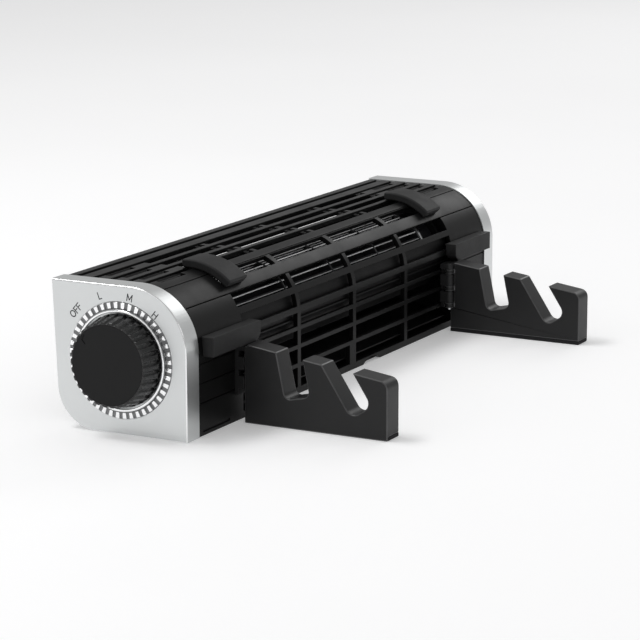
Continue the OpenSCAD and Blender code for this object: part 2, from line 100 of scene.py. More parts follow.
def tint(name, text, default):
    return bpy.props.FloatVectorProperty(
        name=name, description=text, default=default, size=3, min=0.0, max=1.0, subtype="COLOR"
    )


def gloss(name, text, default):
    return bpy.props.FloatProperty(
        name=name, description=text, default=default, min=0.0, max=1.0, subtype="FACTOR"
    )


def spot(name, text, default):
    return bpy.props.FloatProperty(name=name, description=text, default=default, unit="LENGTH")


def count(name, text, default, least):
    return bpy.props.IntProperty(name=name, description=text, default=default, min=least)


def strength(name, text, default, least=0):
    return bpy.props.FloatProperty(name=name, description=text, default=default, min=least)


class BlowerShapes(bpy.types.PropertyGroup):
    front_radius: length("Front corner", "Radius of the caps' large front corner", 32 * MM)
    rear_radius: length("Rear corner", "Radius of the caps' lower rear corner", 22 * MM)
    rear_lean: length("Rear lean", "How far the caps lean out at the rear top corner", 2.3 * MM)
    cap_wall: length("Cap wall", "Wall of the caps round the housing", 3.2 * MM)
    cap_plate: length("Cap plate", "Thickness of the caps' outer plate", 3.4 * MM)
    cap_edge: length("Cap edge", "Rounding of the caps' outer edge", 0.7 * MM)
    ring_step: length("Ring seat", "Depth of the seat of the serrated ring", 0.5 * MM)
    bezel_step: length("Bezel seat", "Depth of the seat of the bezel", 0.8 * MM)
    bezel_wall: length("Bezel wall", "Wall of the polished bezel", 1.4 * MM)
    notch_width: length("Notch width", "Width of a notch in the serrated ring", 1.9 * MM)
    flute_radius: length("Flute radius", "Radius of the round cutter of the knob's flutes", 1.3 * MM)
    flute_set_out: length("Flute set-out", "How far the cutter's middle lies outside the knob", 0.4 * MM)
    label_height: length("Label height", "Height of the dial's capitals", 3.3 * MM)
    label_stroke: length("Label stroke", "Stroke width of the dial's capitals", 0.5 * MM)
    housing_edge: length("Housing edges", "Rounding of the housing's moulded edges", 0.28 * MM)
    foot_edge: length("Foot edges", "Rounding of the feet's edges", 0.55 * MM)
    rest_edge: length("Rest edges", "Rounding of the rubber saddles' and bumpers' edges", 1.1 * MM)
    skin_inset: length("Skin inset", "Height by which the caps stand out of the housing", 0.6 * MM)
    housing_wall: length("Housing wall", "Wall of the moulded housing", 2.6 * MM)
    open_half: length("Open half", "Half of the open length of the grille rows", 123.4 * MM)
    rib_pitch: length("Rib pitch", "Distance between the upright ribs", 63.5 * MM)
    rib_width: length("Rib width", "Width of the upright ribs", 3.6 * MM)
    bar_height: length("Bar height", "Height of the thin cross bars", 2.2 * MM)
    row_pitch: length("Row pitch", "Distance between the cross bars and between the top slats", 10 * MM)
    low_bar: length("Lowest bar", "Height of the lowest thin bar", 14.4 * MM)
    beam: length("Beam", "Height of the front bottom beam", 3.6 * MM)
    lip: length("Rear lip", "Depth of the top's lip at the rear", 4.6 * MM)
    first_slat: length("First slat", "Distance from the rear plane to the first slotted groove", 12.7 * MM)
    groove_width: length("Groove width", "Width of the long grooves", 3.3 * MM)
    groove_depth: length("Groove depth", "Depth of the long grooves", 1.6 * MM)
    slot_width: length("Slot width", "Width of the slots beside the grooves", 3.5 * MM)
    slot_half: length("Slot half", "Half of the slotted length of the top", 121.6 * MM)
    end_slot_from: length("End slot start", "Where the short end slots begin", 135.4 * MM)
    end_slot_to: length("End slot end", "Where the short end slots stop", 159.6 * MM)
    end_groove: length("End groove", "Height of the grooves in the closed ends", 0.8 * MM)
    end_groove_depth: length("End groove depth", "Depth of the grooves in the closed ends", 0.7 * MM)
    slit_from: length("Slit start", "Where the low slit of the closed ends begins", 137 * MM)
    slit_to: length("Slit end", "Where the low slit of the closed ends stops", 164 * MM)
    slit_low: length("Slit low edge", "Lower edge of the slit", 1.8 * MM)
    slit_high: length("Slit high edge", "Upper edge of the slit", 3.4 * MM)
    notch_radius: length("Notch radius", "Radius of the finger notch in the beam", 19.4 * MM)
    notch_x: spot("Notch place", "Middle of the finger notch along the length", 21 * MM)
    notch_z: spot("Notch height", "Height of the finger notch's centre", -16.5 * MM)
    mid_rib_from: spot("Middle rib start", "Start of the wide low middle rib", -5.5 * MM)
    mid_rib_to: spot("Middle rib end", "End of the wide low middle rib", 1.5 * MM)
    shaft_hole: length("Shaft hole", "Radius of the hole for the switch shaft", 4.55 * MM)
    socket_hole: length("Socket hole", "Radius of the hole for the power inlet", 5.05 * MM)
    knob_base: length("Knob base", "Radius of the knob where it meets the ring", 23.9 * MM)
    knob_rim: length("Knob rim", "Radius of the knob at its face", 21.7 * MM)
    rear_groove: length("Rear groove", "Distance from the rear plane to the rearmost groove", 6 * MM)
    window_margin: length("Window margin", "How far the shoulder's ribs are wider on each side", 0.4 * MM)
    end_margin: length("End margin", "Plain strip between the rows and the end grooves", 1 * MM)
    intake_low: length("Intake", "Height of the lowest intake row", 28 * MM)
    intake_height: length("Intake row", "Height of each intake row", 4 * MM)
    blade_thickness: length("Blade thickness", "Thickness of the fan's blades", 0.6 * MM)
    blade_bead: length("Blade bead", "Height of the rolled bead along each blade", 0.25 * MM)
    blade_bend: length("Blade bend", "Radius of the curve across each blade", 6.1 * MM)
    disc_thickness: length("Disc thickness", "Thickness of the fan's discs", 1.2 * MM)
    # Narrow blade faces up to this width get the painted highlight finish.
    widest_bright: length("Bright width", "Widest blade face that counts as a bright tip or bead", 0.75 * MM)
    ring_teeth: count("Ring teeth", "Teeth of the serrated ring", 44, 8)
    knob_flutes: count("Knob flutes", "Flutes round the knob", 30, 6)
    fan_blades: count("Fan blades", "Blades of the fan wheel", 36, 8)


class BlowerFinishes(bpy.types.PropertyGroup):
    cap_silver: tint("Cap silver", "Satin silver of the end caps", (0.69, 0.705, 0.705))
    bright_silver: tint("Bright silver", "Polished silver of the dial ring", (0.93, 0.935, 0.94))
    housing_black: tint("Housing black", "Black of the moulded housing", (0.0042, 0.0042, 0.0043))
    foot_black: tint("Foot black", "Black of the feet", (0.0145, 0.0145, 0.0149))
    # The foot edge black is a painted highlight: lighter black along the feet's rounded edges.
    foot_edge: tint("Foot edge", "Lighter black as a painted highlight along the feet's edges", (0.052, 0.052, 0.053))
    knob_black: tint("Knob black", "Black of the knob", (0.0085, 0.0085, 0.0088))
    rubber_black: tint("Rubber black", "Black of the saddles and bumpers", (0.0150, 0.0150, 0.0154))
    guide_grey: tint("Guide grey", "Grey of the inner guides", (0.004, 0.004, 0.0042))
    label_ink: tint("Label ink", "Ink of the dial's labels", (0.035, 0.037, 0.042))
    board_green: tint("Board green", "Lacquer of the control board", (0.02, 0.10, 0.045))
    floor_white: tint("Floor white", "White of the floor", (0.87, 0.87, 0.875))
    housing_gloss: gloss("Housing roughness", "Roughness of the moulded housing", 0.38)
    cap_gloss: gloss("Cap roughness", "Roughness of the satin caps", 0.34)


class BlowerStudio(bpy.types.PropertyGroup):
    camera_place: bpy.props.FloatVectorProperty(
        name="Camera place",
        description="Where the camera stands",
        default=(-1.292081, -0.707515, 0.344628),
        size=3,
        subtype="TRANSLATION",
        unit="LENGTH",
    )
    camera_turn: bpy.props.FloatVectorProperty(
        name="Camera turn",
        description="The camera's rotation as a quaternion",
        default=(0.6676196, 0.5385587, -0.3217374, -0.4009035),
        size=4,
        subtype="QUATERNION",
    )
    camera_lens: strength("Lens", "Focal length in millimetres", 152.555, 1)
    key_watts: strength("Top light", "Power of the large top light", 10)
    rim_watts: strength("End light", "Power of the light past the inlet end", 7)
    side_watts: strength("Side light", "Power of the light by the dial", 1.6)
    front_watts: strength("Front light", "Power of the light in front", 1.5)
    floor_glow: strength("Floor glow", "Light of the floor itself", 0.23)
    sky: strength("Room light", "Strength of the even room light", 0.5)


# ---------------------------------------------------------------- finishes

def node(tree, kind, inputs=(), **settings):
    made = tree.nodes.new(kind)
    for name, value in settings.items():
        setattr(made, name, value)
    for name, value in dict(inputs).items():
        made.inputs[name].default_value = value
    return made


def finish(name, colour, rough, metallic=0.0, specular=0.13, grain=0.25, depth=0.012, mottle=0.12, patch=18,
           spread=0.08, coat=0.0, streaks=None):
    """A shader with fine grain, uneven colour and uneven gloss in object coordinates; sizes in mm."""
    made = bpy.data.materials.new(name)
    made.use_nodes = True
    tree = made.node_tree
    tree.nodes.clear()
    link = tree.links.new
    out = node(tree, "ShaderNodeOutputMaterial")
    shader = node(tree, "ShaderNodeBsdfPrincipled", {
        "Metallic": metallic, "Specular IOR Level": specular, "Coat Weight": coat, "Coat Roughness": 0.2})
    place = node(tree, "ShaderNodeTexCoord").outputs["Object"]
    centre = node(tree, "ShaderNodeMapping", {"Location": (0.013, 0.007, 0.003)})
    patches = node(tree, "ShaderNodeTexNoise", {"Scale": 1 / (patch * MM), "Detail": 4, "Roughness": 0.6})
    speck = node(tree, "ShaderNodeTexNoise", {"Scale": 1 / (grain * MM), "Detail": 3, "Roughness": 0.55})
    link(place, centre.inputs["Vector"])
    link(centre.outputs["Vector"], patches.inputs["Vector"])
    grain_place = centre
    if streaks:
        grain_place = node(tree, "ShaderNodeMapping", {"Scale": streaks})
        link(place, grain_place.inputs["Vector"])
    link(grain_place.outputs["Vector"], speck.inputs["Vector"])

    both = node(tree, "ShaderNodeMix", {"Factor": 0.35}, data_type="FLOAT")
    link(patches.outputs["Fac"], both.inputs[2])
    link(speck.outputs["Fac"], both.inputs[3])
    ramp = node(tree, "ShaderNodeValToRGB")
    for stop, where, share in zip(ramp.color_ramp.elements, (0.3, 0.7), (1 - mottle, 1 + mottle)):
        stop.position = where
        stop.color = (*[min(1, c * share) for c in colour], 1)
    link(both.outputs[0], ramp.inputs["Fac"])
    link(ramp.outputs["Color"], shader.inputs["Base Color"])

    least, most = max(0.03, rough - spread), min(1, rough + spread)
    dull = node(tree, "ShaderNodeMapRange", {
        "From Min": 0.3, "From Max": 0.7, "To Min": least, "To Max": most})
    link(both.outputs[0], dull.inputs["Value"])
    link(dull.outputs["Result"], shader.inputs["Roughness"])
    bump = node(tree, "ShaderNodeBump", {"Strength": 0.6, "Distance": depth * MM})
    link(speck.outputs["Fac"], bump.inputs["Height"])
    link(bump.outputs["Normal"], shader.inputs["Normal"])
    link(shader.outputs["BSDF"], out.inputs["Surface"])
    return made


def finishes():
    """The named finishes, made once from the chosen colours."""
    tones = bpy.context.scene.blower_finishes
    # colour, roughness, metallic, specular, grain, depth, mottle, patch, spread of roughness, coat, streaks
    table = {
        "satin_silver": (tones.cap_silver, tones.cap_gloss, 0.92, 0.13, 0.16, 0.004, 0.035, 40, 0.03),
        "polished_silver": (tones.bright_silver, 0.12, 1.0, 0.13, 0.3, 0.003, 0.05, 9, 0.05),
        # notch_silver: darker silver for the ring's floor between the teeth, painted shade in the notches
        "notch_silver": ((0.21, 0.212, 0.215), 0.35, 0.85, 0.13, 0.2, 0.006, 0.15, 5, 0.1),
        "moulded_black": (tones.housing_black, tones.housing_gloss, 0, 0.13, 0.22, 0.010, 0.16, 22),
        "foot_plastic": (tones.foot_black, 0.42, 0, 0.24, 0.24, 0.012, 0.14, 20),
        # foot_edge: lighter black on the feet's rounded edges, a painted highlight
        "foot_edge": (tones.foot_edge, 0.34, 0, 0.5, 0.3, 0.008, 0.3, 6),
        "knob_plastic": (tones.knob_black, 0.26, 0, 0.5, 0.2, 0.008, 0.14, 12),
        "knob_face_satin": (tones.knob_black, 0.5, 0, 0.19, 0.14, 0.006, 0.10, 14),
        "grained_rubber": (tones.rubber_black, 0.58, 0, 0.22, 0.3, 0.02, 0.18, 10),
        "sole_grip": ((0.016, 0.016, 0.017), 0.72, 0, 0.12, 0.35, 0.03, 0.22, 8),
        # The silver blades in two copies: darkened faces as painted shade, near-white tips and beads as
        # painted highlight.
        "blade_sheet": ((0.05, 0.051, 0.053), 0.5, 0.7, 0.13, 0.5, 0.001, 0.15, 30),
        "blade_tip": ((0.90, 0.905, 0.91), 0.4, 0.3, 0.5, 0.4, 0.001, 0.06, 30),
        "dark_sheet": ((0.006, 0.006, 0.0064), 0.45, 0, 0.13, 0.5, 0.006, 0.2, 14, 0.08, 0, (50, 2200, 2200)),
        "turned_steel": ((0.56, 0.57, 0.58), 0.28, 1.0, 0.13, 0.4, 0.005, 0.08, 6),
        "guide_lacquer": (tones.guide_grey, 0.5, 0, 0.13, 0.3, 0.01, 0.2, 25),
        "inner_plastic": ((0.005, 0.005, 0.0054), 0.55, 0, 0.13, 0.4, 0.02, 0.2, 16),
        "motor_lacquer": ((0.016, 0.016, 0.018), 0.3, 0.2, 0.13, 0.4, 0.01, 0.2, 9, 0.08, 0.3),
        "board_lacquer": (tones.board_green, 0.35, 0, 0.13, 0.8, 0.02, 0.3, 4, 0.08, 0.4),
        "label_ink": (tones.label_ink, 0.6, 0, 0.13, 0.1, 0.003, 0.2, 1.5),
    }
    taken = set(table) & {slot["slot"] for slot in frame["record"].get("materials", [])}
    if taken:
        raise ValueError(f"finishes share a name with the frame's slots: {sorted(taken)}")
    return {name: bpy.data.materials.get(name) or finish(name, *looks) for name, looks in table.items()}


# ---------------------------------------------------------------- meshes

def mesh_from(name, points, faces):
    mesh = bpy.data.meshes.new(name)
    mesh.from_pydata(points, [], faces)
    mesh.validate()
    return mesh


def put_right(mesh, merge=1e-7):
    """Merges doubles and turns every face outwards."""
    bm = bmesh.new()
    bm.from_mesh(mesh)
    bmesh.ops.remove_doubles(bm, verts=bm.verts, dist=merge)
    bmesh.ops.recalc_face_normals(bm, faces=bm.faces)
    bm.to_mesh(mesh)
    bm.free()
    return mesh


def smooth(mesh, sharp_from=38):
    mesh.shade_smooth()
    mesh.set_sharp_from_angle(angle=math.radians(sharp_from))
    return mesh


def piece_from(name, mesh, body, slot, material, replaced=(), weighted=True):
    """A finished piece at the origin that rides on a body and may stand for frame nodes."""
    mesh.materials.clear()
    for each in material if isinstance(material, (list, tuple)) else [material]:
        mesh.materials.append(each)
    piece = bpy.data.objects.new(name, mesh)
    bpy.context.scene.collection.objects.link(piece)
    if weighted:
        even = piece.modifiers.new("Even normals", "WEIGHTED_NORMAL")
        even.keep_sharp = True
    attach(piece, body)
    if replaced:
        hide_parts(*replaced)
    return piece


def plain_mesh(piece, name):
    """The piece's mesh with its modifiers applied."""
    graph = bpy.context.evaluated_depsgraph_get()
    mesh = bpy.data.meshes.new_from_object(piece.evaluated_get(graph))
    mesh.name = name
    return mesh


def round_edges(piece, edge, steps=2, angle=MOULDED_EDGE, clamp=True):
    """Rounds the edges sharper than an angle, in the piece's last finish."""
    rounding = piece.modifiers.new("Rounded edges", "BEVEL")
    rounding.width = edge
    rounding.segments = steps
    rounding.limit_method = "ANGLE"
    rounding.angle_limit = math.radians(angle)
    rounding.use_clamp_overlap = clamp
    rounding.miter_outer = "MITER_ARC"
    rounding.loop_slide = True
    # On the feet this last finish is the lighter foot edge black, a painted highlight along the rounding.
    rounding.material = len(piece.data.materials) - 1
    even = piece.modifiers.new("Even normals", "WEIGHTED_NORMAL")
    even.keep_sharp = False


def worked_copy(node_name, name, body, slot, material, edge, steps=2, angle=MOULDED_EDGE, clamp=True):
    """A copy of a frame node with its moulded edges rounded, in that node's place."""
    mesh = frame["nodes"][node_name].data.copy()
    mesh.name = name
    bm = bmesh.new()
    bm.from_mesh(mesh)
    bmesh.ops.remove_doubles(bm, verts=bm.verts, dist=2e-6)
    bmesh.ops.dissolve_degenerate(bm, edges=bm.edges, dist=2e-6)
    bmesh.ops.dissolve_limit(bm, angle_limit=math.radians(FLAT_EDGE), verts=bm.verts, edges=bm.edges)
    for layer in list(bm.loops.layers.uv.values()):
        bm.loops.layers.uv.remove(layer)
    bm.to_mesh(mesh)
    bm.free()
    stored = mesh.attributes.get("custom_normal")
    if mesh.has_custom_normals and stored:
        mesh.attributes.remove(stored)
    piece = piece_from(name, smooth(mesh, angle), body, slot, material, (node_name,), weighted=False)
    round_edges(piece, edge, steps, angle, clamp)


def leaf_outline(inset, steps=36):
    """The caps' outline drawn in by inset, from the front bottom corner to the rear and over the top."""
    shapes = bpy.context.scene.blower_shapes
    lean = math.atan(shapes.rear_lean / (HEIGHT - shapes.rear_radius))
    rear_y, rear_z = HALF_DEPTH - shapes.rear_radius, shapes.rear_radius
    front_y, front_z = -HALF_DEPTH + shapes.front_radius, HEIGHT - shapes.front_radius
    rear_r, front_r = shapes.rear_radius - inset, shapes.front_radius - inset
    points = [(-HALF_DEPTH + inset, inset)]
    for i in range(steps + 1):
        a = -math.pi / 2 + (math.pi / 2 - lean) * i / steps
        points.append((rear_y + rear_r * math.cos(a), rear_z + rear_r * math.sin(a)))
    last_y, last_z = points[-1]
    top = HEIGHT - inset
    points.append((last_y + (top - last_z) * math.tan(lean), top))
    for i in range(steps + 1):
        a = math.pi / 2 + math.pi / 2 * i / steps
        points.append((front_y + front_r * math.cos(a), front_z + front_r * math.sin(a)))
    return points


def spread_round(outline, centre, angles):
    """The points where rays from a centre meet a closed convex outline."""
    cy, cz = centre
    found = []
    for a in angles:
        dy, dz = math.cos(a), math.sin(a)
        best = None
        for i, (y0, z0) in enumerate(outline):
            y1, z1 = outline[(i + 1) % len(outline)]
            ey, ez = y1 - y0, z1 - z0
            cross = dy * ez - dz * ey
            if abs(cross) < 1e-15:
                continue
            reach = ((y0 - cy) * ez - (z0 - cz) * ey) / cross
            along = ((y0 - cy) * dz - (z0 - cz) * dy) / cross
            if reach > 0 and -1e-9 <= along <= 1 + 1e-9 and (best is None or reach < best):
                best = reach
        found.append((cy + best * dy, cz + best * dz))
    return found


def loft(name, loops):
    """Joins equal loops of points, (x, [(y, z), ...]), with quads, and the last loop to the first."""
    n = len(loops[0][1])
    points = [(x, y, z) for x, ring in loops for y, z in ring]
    faces = []
    for a in range(len(loops)):
        b = (a + 1) % len(loops)
        for i in range(n):
            j = (i + 1) % n
            faces.append((a * n + i, a * n + j, b * n + j, b * n + i))
    return put_right(mesh_from(name, points, faces))


def circle(centre, radius, angles):
    return [(centre[0] + radius * math.cos(a), centre[1] + radius * math.sin(a)) for a in angles]


def rounded_side(x, inset, radius, side, steps=4):
    """Loop places (x, inset) over a rounded edge between a side wall and a face at x."""
    places = []
    for i in range(steps + 1):
        a = math.pi / 2 * i / steps
        places.append((x + side * radius * (1 - math.sin(a)), inset + radius * (1 - math.cos(a))))
    return places


# ---------------------------------------------------------------- geometry node trees

def tree_with(name, inputs):
    """An empty geometry tree with named inputs: the tree, its input and output nodes and its sockets."""
    tree = bpy.data.node_groups.new(name, "GeometryNodeTree")
    sockets = {}
    for label, kind, value in inputs:
        socket = tree.interface.new_socket(name=label, in_out="INPUT", socket_type=kind)
        if value is not None:
            socket.default_value = value
        sockets[label] = socket.identifier
    tree.interface.new_socket(name="Geometry", in_out="OUTPUT", socket_type="NodeSocketGeometry")
    return tree, tree.nodes.new("NodeGroupInput"), tree.nodes.new("NodeGroupOutput"), sockets


def maths(tree, operation, first, second=None):
    made = node(tree, "ShaderNodeMath", operation=operation)
    for i, value in enumerate((first, second)):
        if value is None:
            continue
        if isinstance(value, (int, float)):
            made.inputs[i].default_value = value
        else:
            tree.links.new(value, made.inputs[i])
    return made.outputs[0]


def close_tree(tree, geometry, material, out):
    """Ends a tree in Realize Instances and Set Material."""
    link = tree.links.new
    real = tree.nodes.new("GeometryNodeRealizeInstances")
    coat = tree.nodes.new("GeometryNodeSetMaterial")
    link(geometry, real.inputs["Geometry"])
    link(real.outputs["Geometry"], coat.inputs["Geometry"])
    link(material, coat.inputs["Material"])
    link(coat.outputs["Geometry"], out.inputs["Geometry"])


def round_axis_tree():
    """Copies of an item turned about a length-wise axis."""
    known = bpy.data.node_groups.get("Copies round an axis")
    inputs = [
        ("Geometry", "NodeSocketGeometry", None),
        ("Item", "NodeSocketObject", None),
        ("Count", "NodeSocketInt", 12),
        ("Axis", "NodeSocketVector", (0, 0, 0)),
        ("First angle", "NodeSocketFloat", 0.0),
        ("Finish", "NodeSocketMaterial", None),
    ]
    if known:
        return known, {s.name: s.identifier for s in known.interface.items_tree if s.in_out == "INPUT"}
    tree, feed, out, sockets = tree_with("Copies round an axis", inputs)
    link = tree.links.new
    item = node(tree, "GeometryNodeObjectInfo", transform_space="ORIGINAL")
    places = tree.nodes.new("GeometryNodePoints")
    index = tree.nodes.new("GeometryNodeInputIndex")
    turn = tree.nodes.new("ShaderNodeCombineXYZ")
    as_turn = tree.nodes.new("FunctionNodeEulerToRotation")
    copies = tree.nodes.new("GeometryNodeInstanceOnPoints")
    link(feed.outputs["Item"], item.inputs["Object"])
    link(feed.outputs["Count"], places.inputs["Count"])
    link(feed.outputs["Axis"], places.inputs["Position"])
    share = maths(tree, "DIVIDE", index.outputs[0], feed.outputs["Count"])
    angle = maths(tree, "ADD", maths(tree, "MULTIPLY", share, math.tau), feed.outputs["First angle"])
    link(angle, turn.inputs["X"])
    link(turn.outputs[0], as_turn.inputs[0])
    link(places.outputs[0], copies.inputs["Points"])
    link(item.outputs["Geometry"], copies.inputs["Instance"])
    link(as_turn.outputs[0], copies.inputs["Rotation"])
    close_tree(tree, copies.outputs[0], feed.outputs["Finish"], out)
    return tree, sockets


def places_tree():
    """Copies of an item on the points of a mesh."""
    inputs = [
        ("Geometry", "NodeSocketGeometry", None),
        ("Item", "NodeSocketObject", None),
        ("Finish", "NodeSocketMaterial", None),
    ]
    tree, feed, out, sockets = tree_with("Copies on places", inputs)
    link = tree.links.new
    item = node(tree, "GeometryNodeObjectInfo", transform_space="ORIGINAL")
    copies = tree.nodes.new("GeometryNodeInstanceOnPoints")
    link(feed.outputs["Item"], item.inputs["Object"])
    link(feed.outputs["Geometry"], copies.inputs["Points"])
    link(item.outputs["Geometry"], copies.inputs["Instance"])
    close_tree(tree, copies.outputs[0], feed.outputs["Finish"], out)
    return tree, sockets


def flute_tree():
    """Cuts round flutes into the outside of a turned body on a length-wise axis."""
    inputs = [
        ("Geometry", "NodeSocketGeometry", None),
        ("Flutes", "NodeSocketInt", 30),
        ("Cutter radius", "NodeSocketFloat", 1.3 * MM),
        ("Cutter set-out", "NodeSocketFloat", 0.4 * MM),
        ("Inside radius", "NodeSocketFloat", 20 * MM),
        ("Axis height", "NodeSocketFloat", 38 * MM),
        ("Finish", "NodeSocketMaterial", None),
    ]
    tree, feed, out, sockets = tree_with("Flutes round a knob", inputs)
    link = tree.links.new

    def do(*operation_and_values):
        return maths(tree, *operation_and_values)

    place = tree.nodes.new("GeometryNodeInputPosition")
    split = tree.nodes.new("ShaderNodeSeparateXYZ")
    link(place.outputs[0], split.inputs[0])
    y = split.outputs["Y"]
    z = do("SUBTRACT", split.outputs["Z"], feed.outputs["Axis height"])
    radius = do("SQRT", do("ADD", do("MULTIPLY", y, y), do("MULTIPLY", z, z)))
    turns = do("DIVIDE", do("ARCTAN2", z, y), math.tau)
    share = do("FRACT", do("MULTIPLY", turns, feed.outputs["Flutes"]))
    off = do("ABSOLUTE", do("SUBTRACT", share, 0.5))
    pitch = do("DIVIDE", do("MULTIPLY", radius, math.tau), feed.outputs["Flutes"])
    across = do("MULTIPLY", off, pitch)
    cutter = feed.outputs["Cutter radius"]
    left = do("SUBTRACT", do("MULTIPLY", cutter, cutter), do("MULTIPLY", across, across))
    chord = do("SQRT", do("MAXIMUM", left, 0.0))
    depth = do("MAXIMUM", do("SUBTRACT", chord, feed.outputs["Cutter set-out"]), 0.0)
    outside = do("GREATER_THAN", radius, feed.outputs["Inside radius"])
    share_in = do("DIVIDE", do("MULTIPLY", depth, outside), do("MAXIMUM", radius, 1e-6))
    shift = tree.nodes.new("ShaderNodeCombineXYZ")
    back = do("MULTIPLY", share_in, -1.0)
    link(do("MULTIPLY", y, back), shift.inputs["Y"])
    link(do("MULTIPLY", z, back), shift.inputs["Z"])
    move = tree.nodes.new("GeometryNodeSetPosition")
    link(feed.outputs["Geometry"], move.inputs["Geometry"])
    link(shift.outputs[0], move.inputs["Offset"])
    close_tree(tree, move.outputs[0], feed.outputs["Finish"], out)
    return tree, sockets


def grown_mesh(name, base, tree, sockets, values):
    """The plain mesh that a tree makes from a base mesh; the helper object goes."""
    helper = bpy.data.objects.new(name + "_helper", base)
    bpy.context.scene.collection.objects.link(helper)
    grow = helper.modifiers.new("Grow", "NODES")
    grow.node_group = tree
    for label, value in values.items():
        grow[sockets[label]] = value
    mesh = plain_mesh(helper, name)
    bpy.data.objects.remove(helper)
    return mesh


def copied(name, mesh, base, tree_and_sockets, values):
    """The plain mesh of a tree that copies an item; the item object goes."""
    item = bpy.data.objects.new(mesh.name, mesh)
    bpy.context.scene.collection.objects.link(item)
    made = grown_mesh(name, base, *tree_and_sockets, {"Item": item, **values})
    bpy.data.objects.remove(item)
    return made


def copied_round(name, mesh, number, axis, first, look):
    """Copies of a mesh turned round a length-wise axis."""
    return copied(name, mesh, bpy.data.meshes.new("no_mesh"), round_axis_tree(), {
        "Count": number, "Axis": axis, "First angle": first, "Finish": look})


def joined(name, *meshes):
    bm = bmesh.new()
    for mesh in meshes:
        bm.from_mesh(mesh)
    made = bpy.data.meshes.new(name)
    bm.to_mesh(made)
    bm.free()
    return made


def turned(name, profile, centre, steps=96):
    """A closed solid turned about a length-wise axis from a closed profile of (x, radius)."""
    angles = [math.tau * i / steps for i in range(steps)]
    return loft(name, [(x, circle(centre, r, angles)) for x, r in profile])


# ---------------------------------------------------------------- moulded skins

def arc_path(centre, radius, first, last, steps):
    """Profile points on an arc, each with its inward direction; angles in degrees from +Y towards +Z."""
    made = []
    for i in range(steps + 1):
        a = math.radians(first + (last - first) * i / steps)
        out = (math.cos(a), math.sin(a))
        made.append(((centre[0] + radius * out[0], centre[1] + radius * out[1]), (-out[0], -out[1])))
    return made


def with_marks(values, marks, near=1e-6):
    """Sorted places with the marks put in and close doubles left out."""
    kept = []
    for v in sorted(list(values) + list(marks)):
        if not kept or v - kept[-1] > near:
            kept.append(v)
    return kept


def skin_mesh(name, path, stations, level, wall, levels, lift=None):
    """A moulded skin over a grid; level(x, k) gives a cell's sunk depth, or None where it is open."""
    depths = sorted({0.0, wall, *levels})
    points, numbers = [], {}

    def corner(i, j, depth):
        key = (i, j, depth)
        if key not in numbers:
            (y, z), (ny, nz) = path[j]
            x = stations[i]
            place = Vector((x, y + ny * depth, z + nz * depth))
            if lift:
                place = lift(place, j)
            numbers[key] = len(points)
            points.append(tuple(place))
        return numbers[key]

    columns, rows = len(stations) - 1, len(path) - 1
    cells = {}
    for i in range(columns):
        middle = (stations[i] + stations[i + 1]) / 2
        for j in range(rows):
            cells[(i, j)] = level(middle, j)
    faces = []
    for (i, j), depth in cells.items():
        if depth is None:
            continue
        faces.append([corner(*c, depth) for c in ((i, j), (i + 1, j), (i + 1, j + 1), (i, j + 1))])
        faces.append([corner(*c, wall) for c in ((i, j), (i, j + 1), (i + 1, j + 1), (i + 1, j))])
        for (di, dj), (a, b) in {
            (-1, 0): ((i, j), (i, j + 1)),
            (1, 0): ((i + 1, j + 1), (i + 1, j)),
            (0, -1): ((i + 1, j), (i, j)),
            (0, 1): ((i, j + 1), (i + 1, j + 1)),
        }.items():
            beyond = cells.get((i + di, j + dj))
            stop = wall if beyond is None else beyond
            steps = [d for d in depths if depth - 1e-9 <= d <= stop + 1e-9]
            for upper, lower in zip(steps, steps[1:]):
                faces.append([corner(*a, upper), corner(*b, upper), corner(*b, lower), corner(*a, lower)])
    return put_right(mesh_from(name, points, faces))


def even_steps(start, stop, parts):
    """The places that cut a stretch into equal parts, without its ends."""
    return [start + (stop - start) * i / parts for i in range(1, parts)]


def in_bay(x, half_rib, half_open):
    """True between the upright ribs of the open middle."""
    shapes = bpy.context.scene.blower_shapes
    if abs(x) > half_open:
        return False
    return all(abs(x - k * shapes.rib_pitch) > half_rib for k in (-1, 0, 1))


# ---------------------------------------------------------------- operators

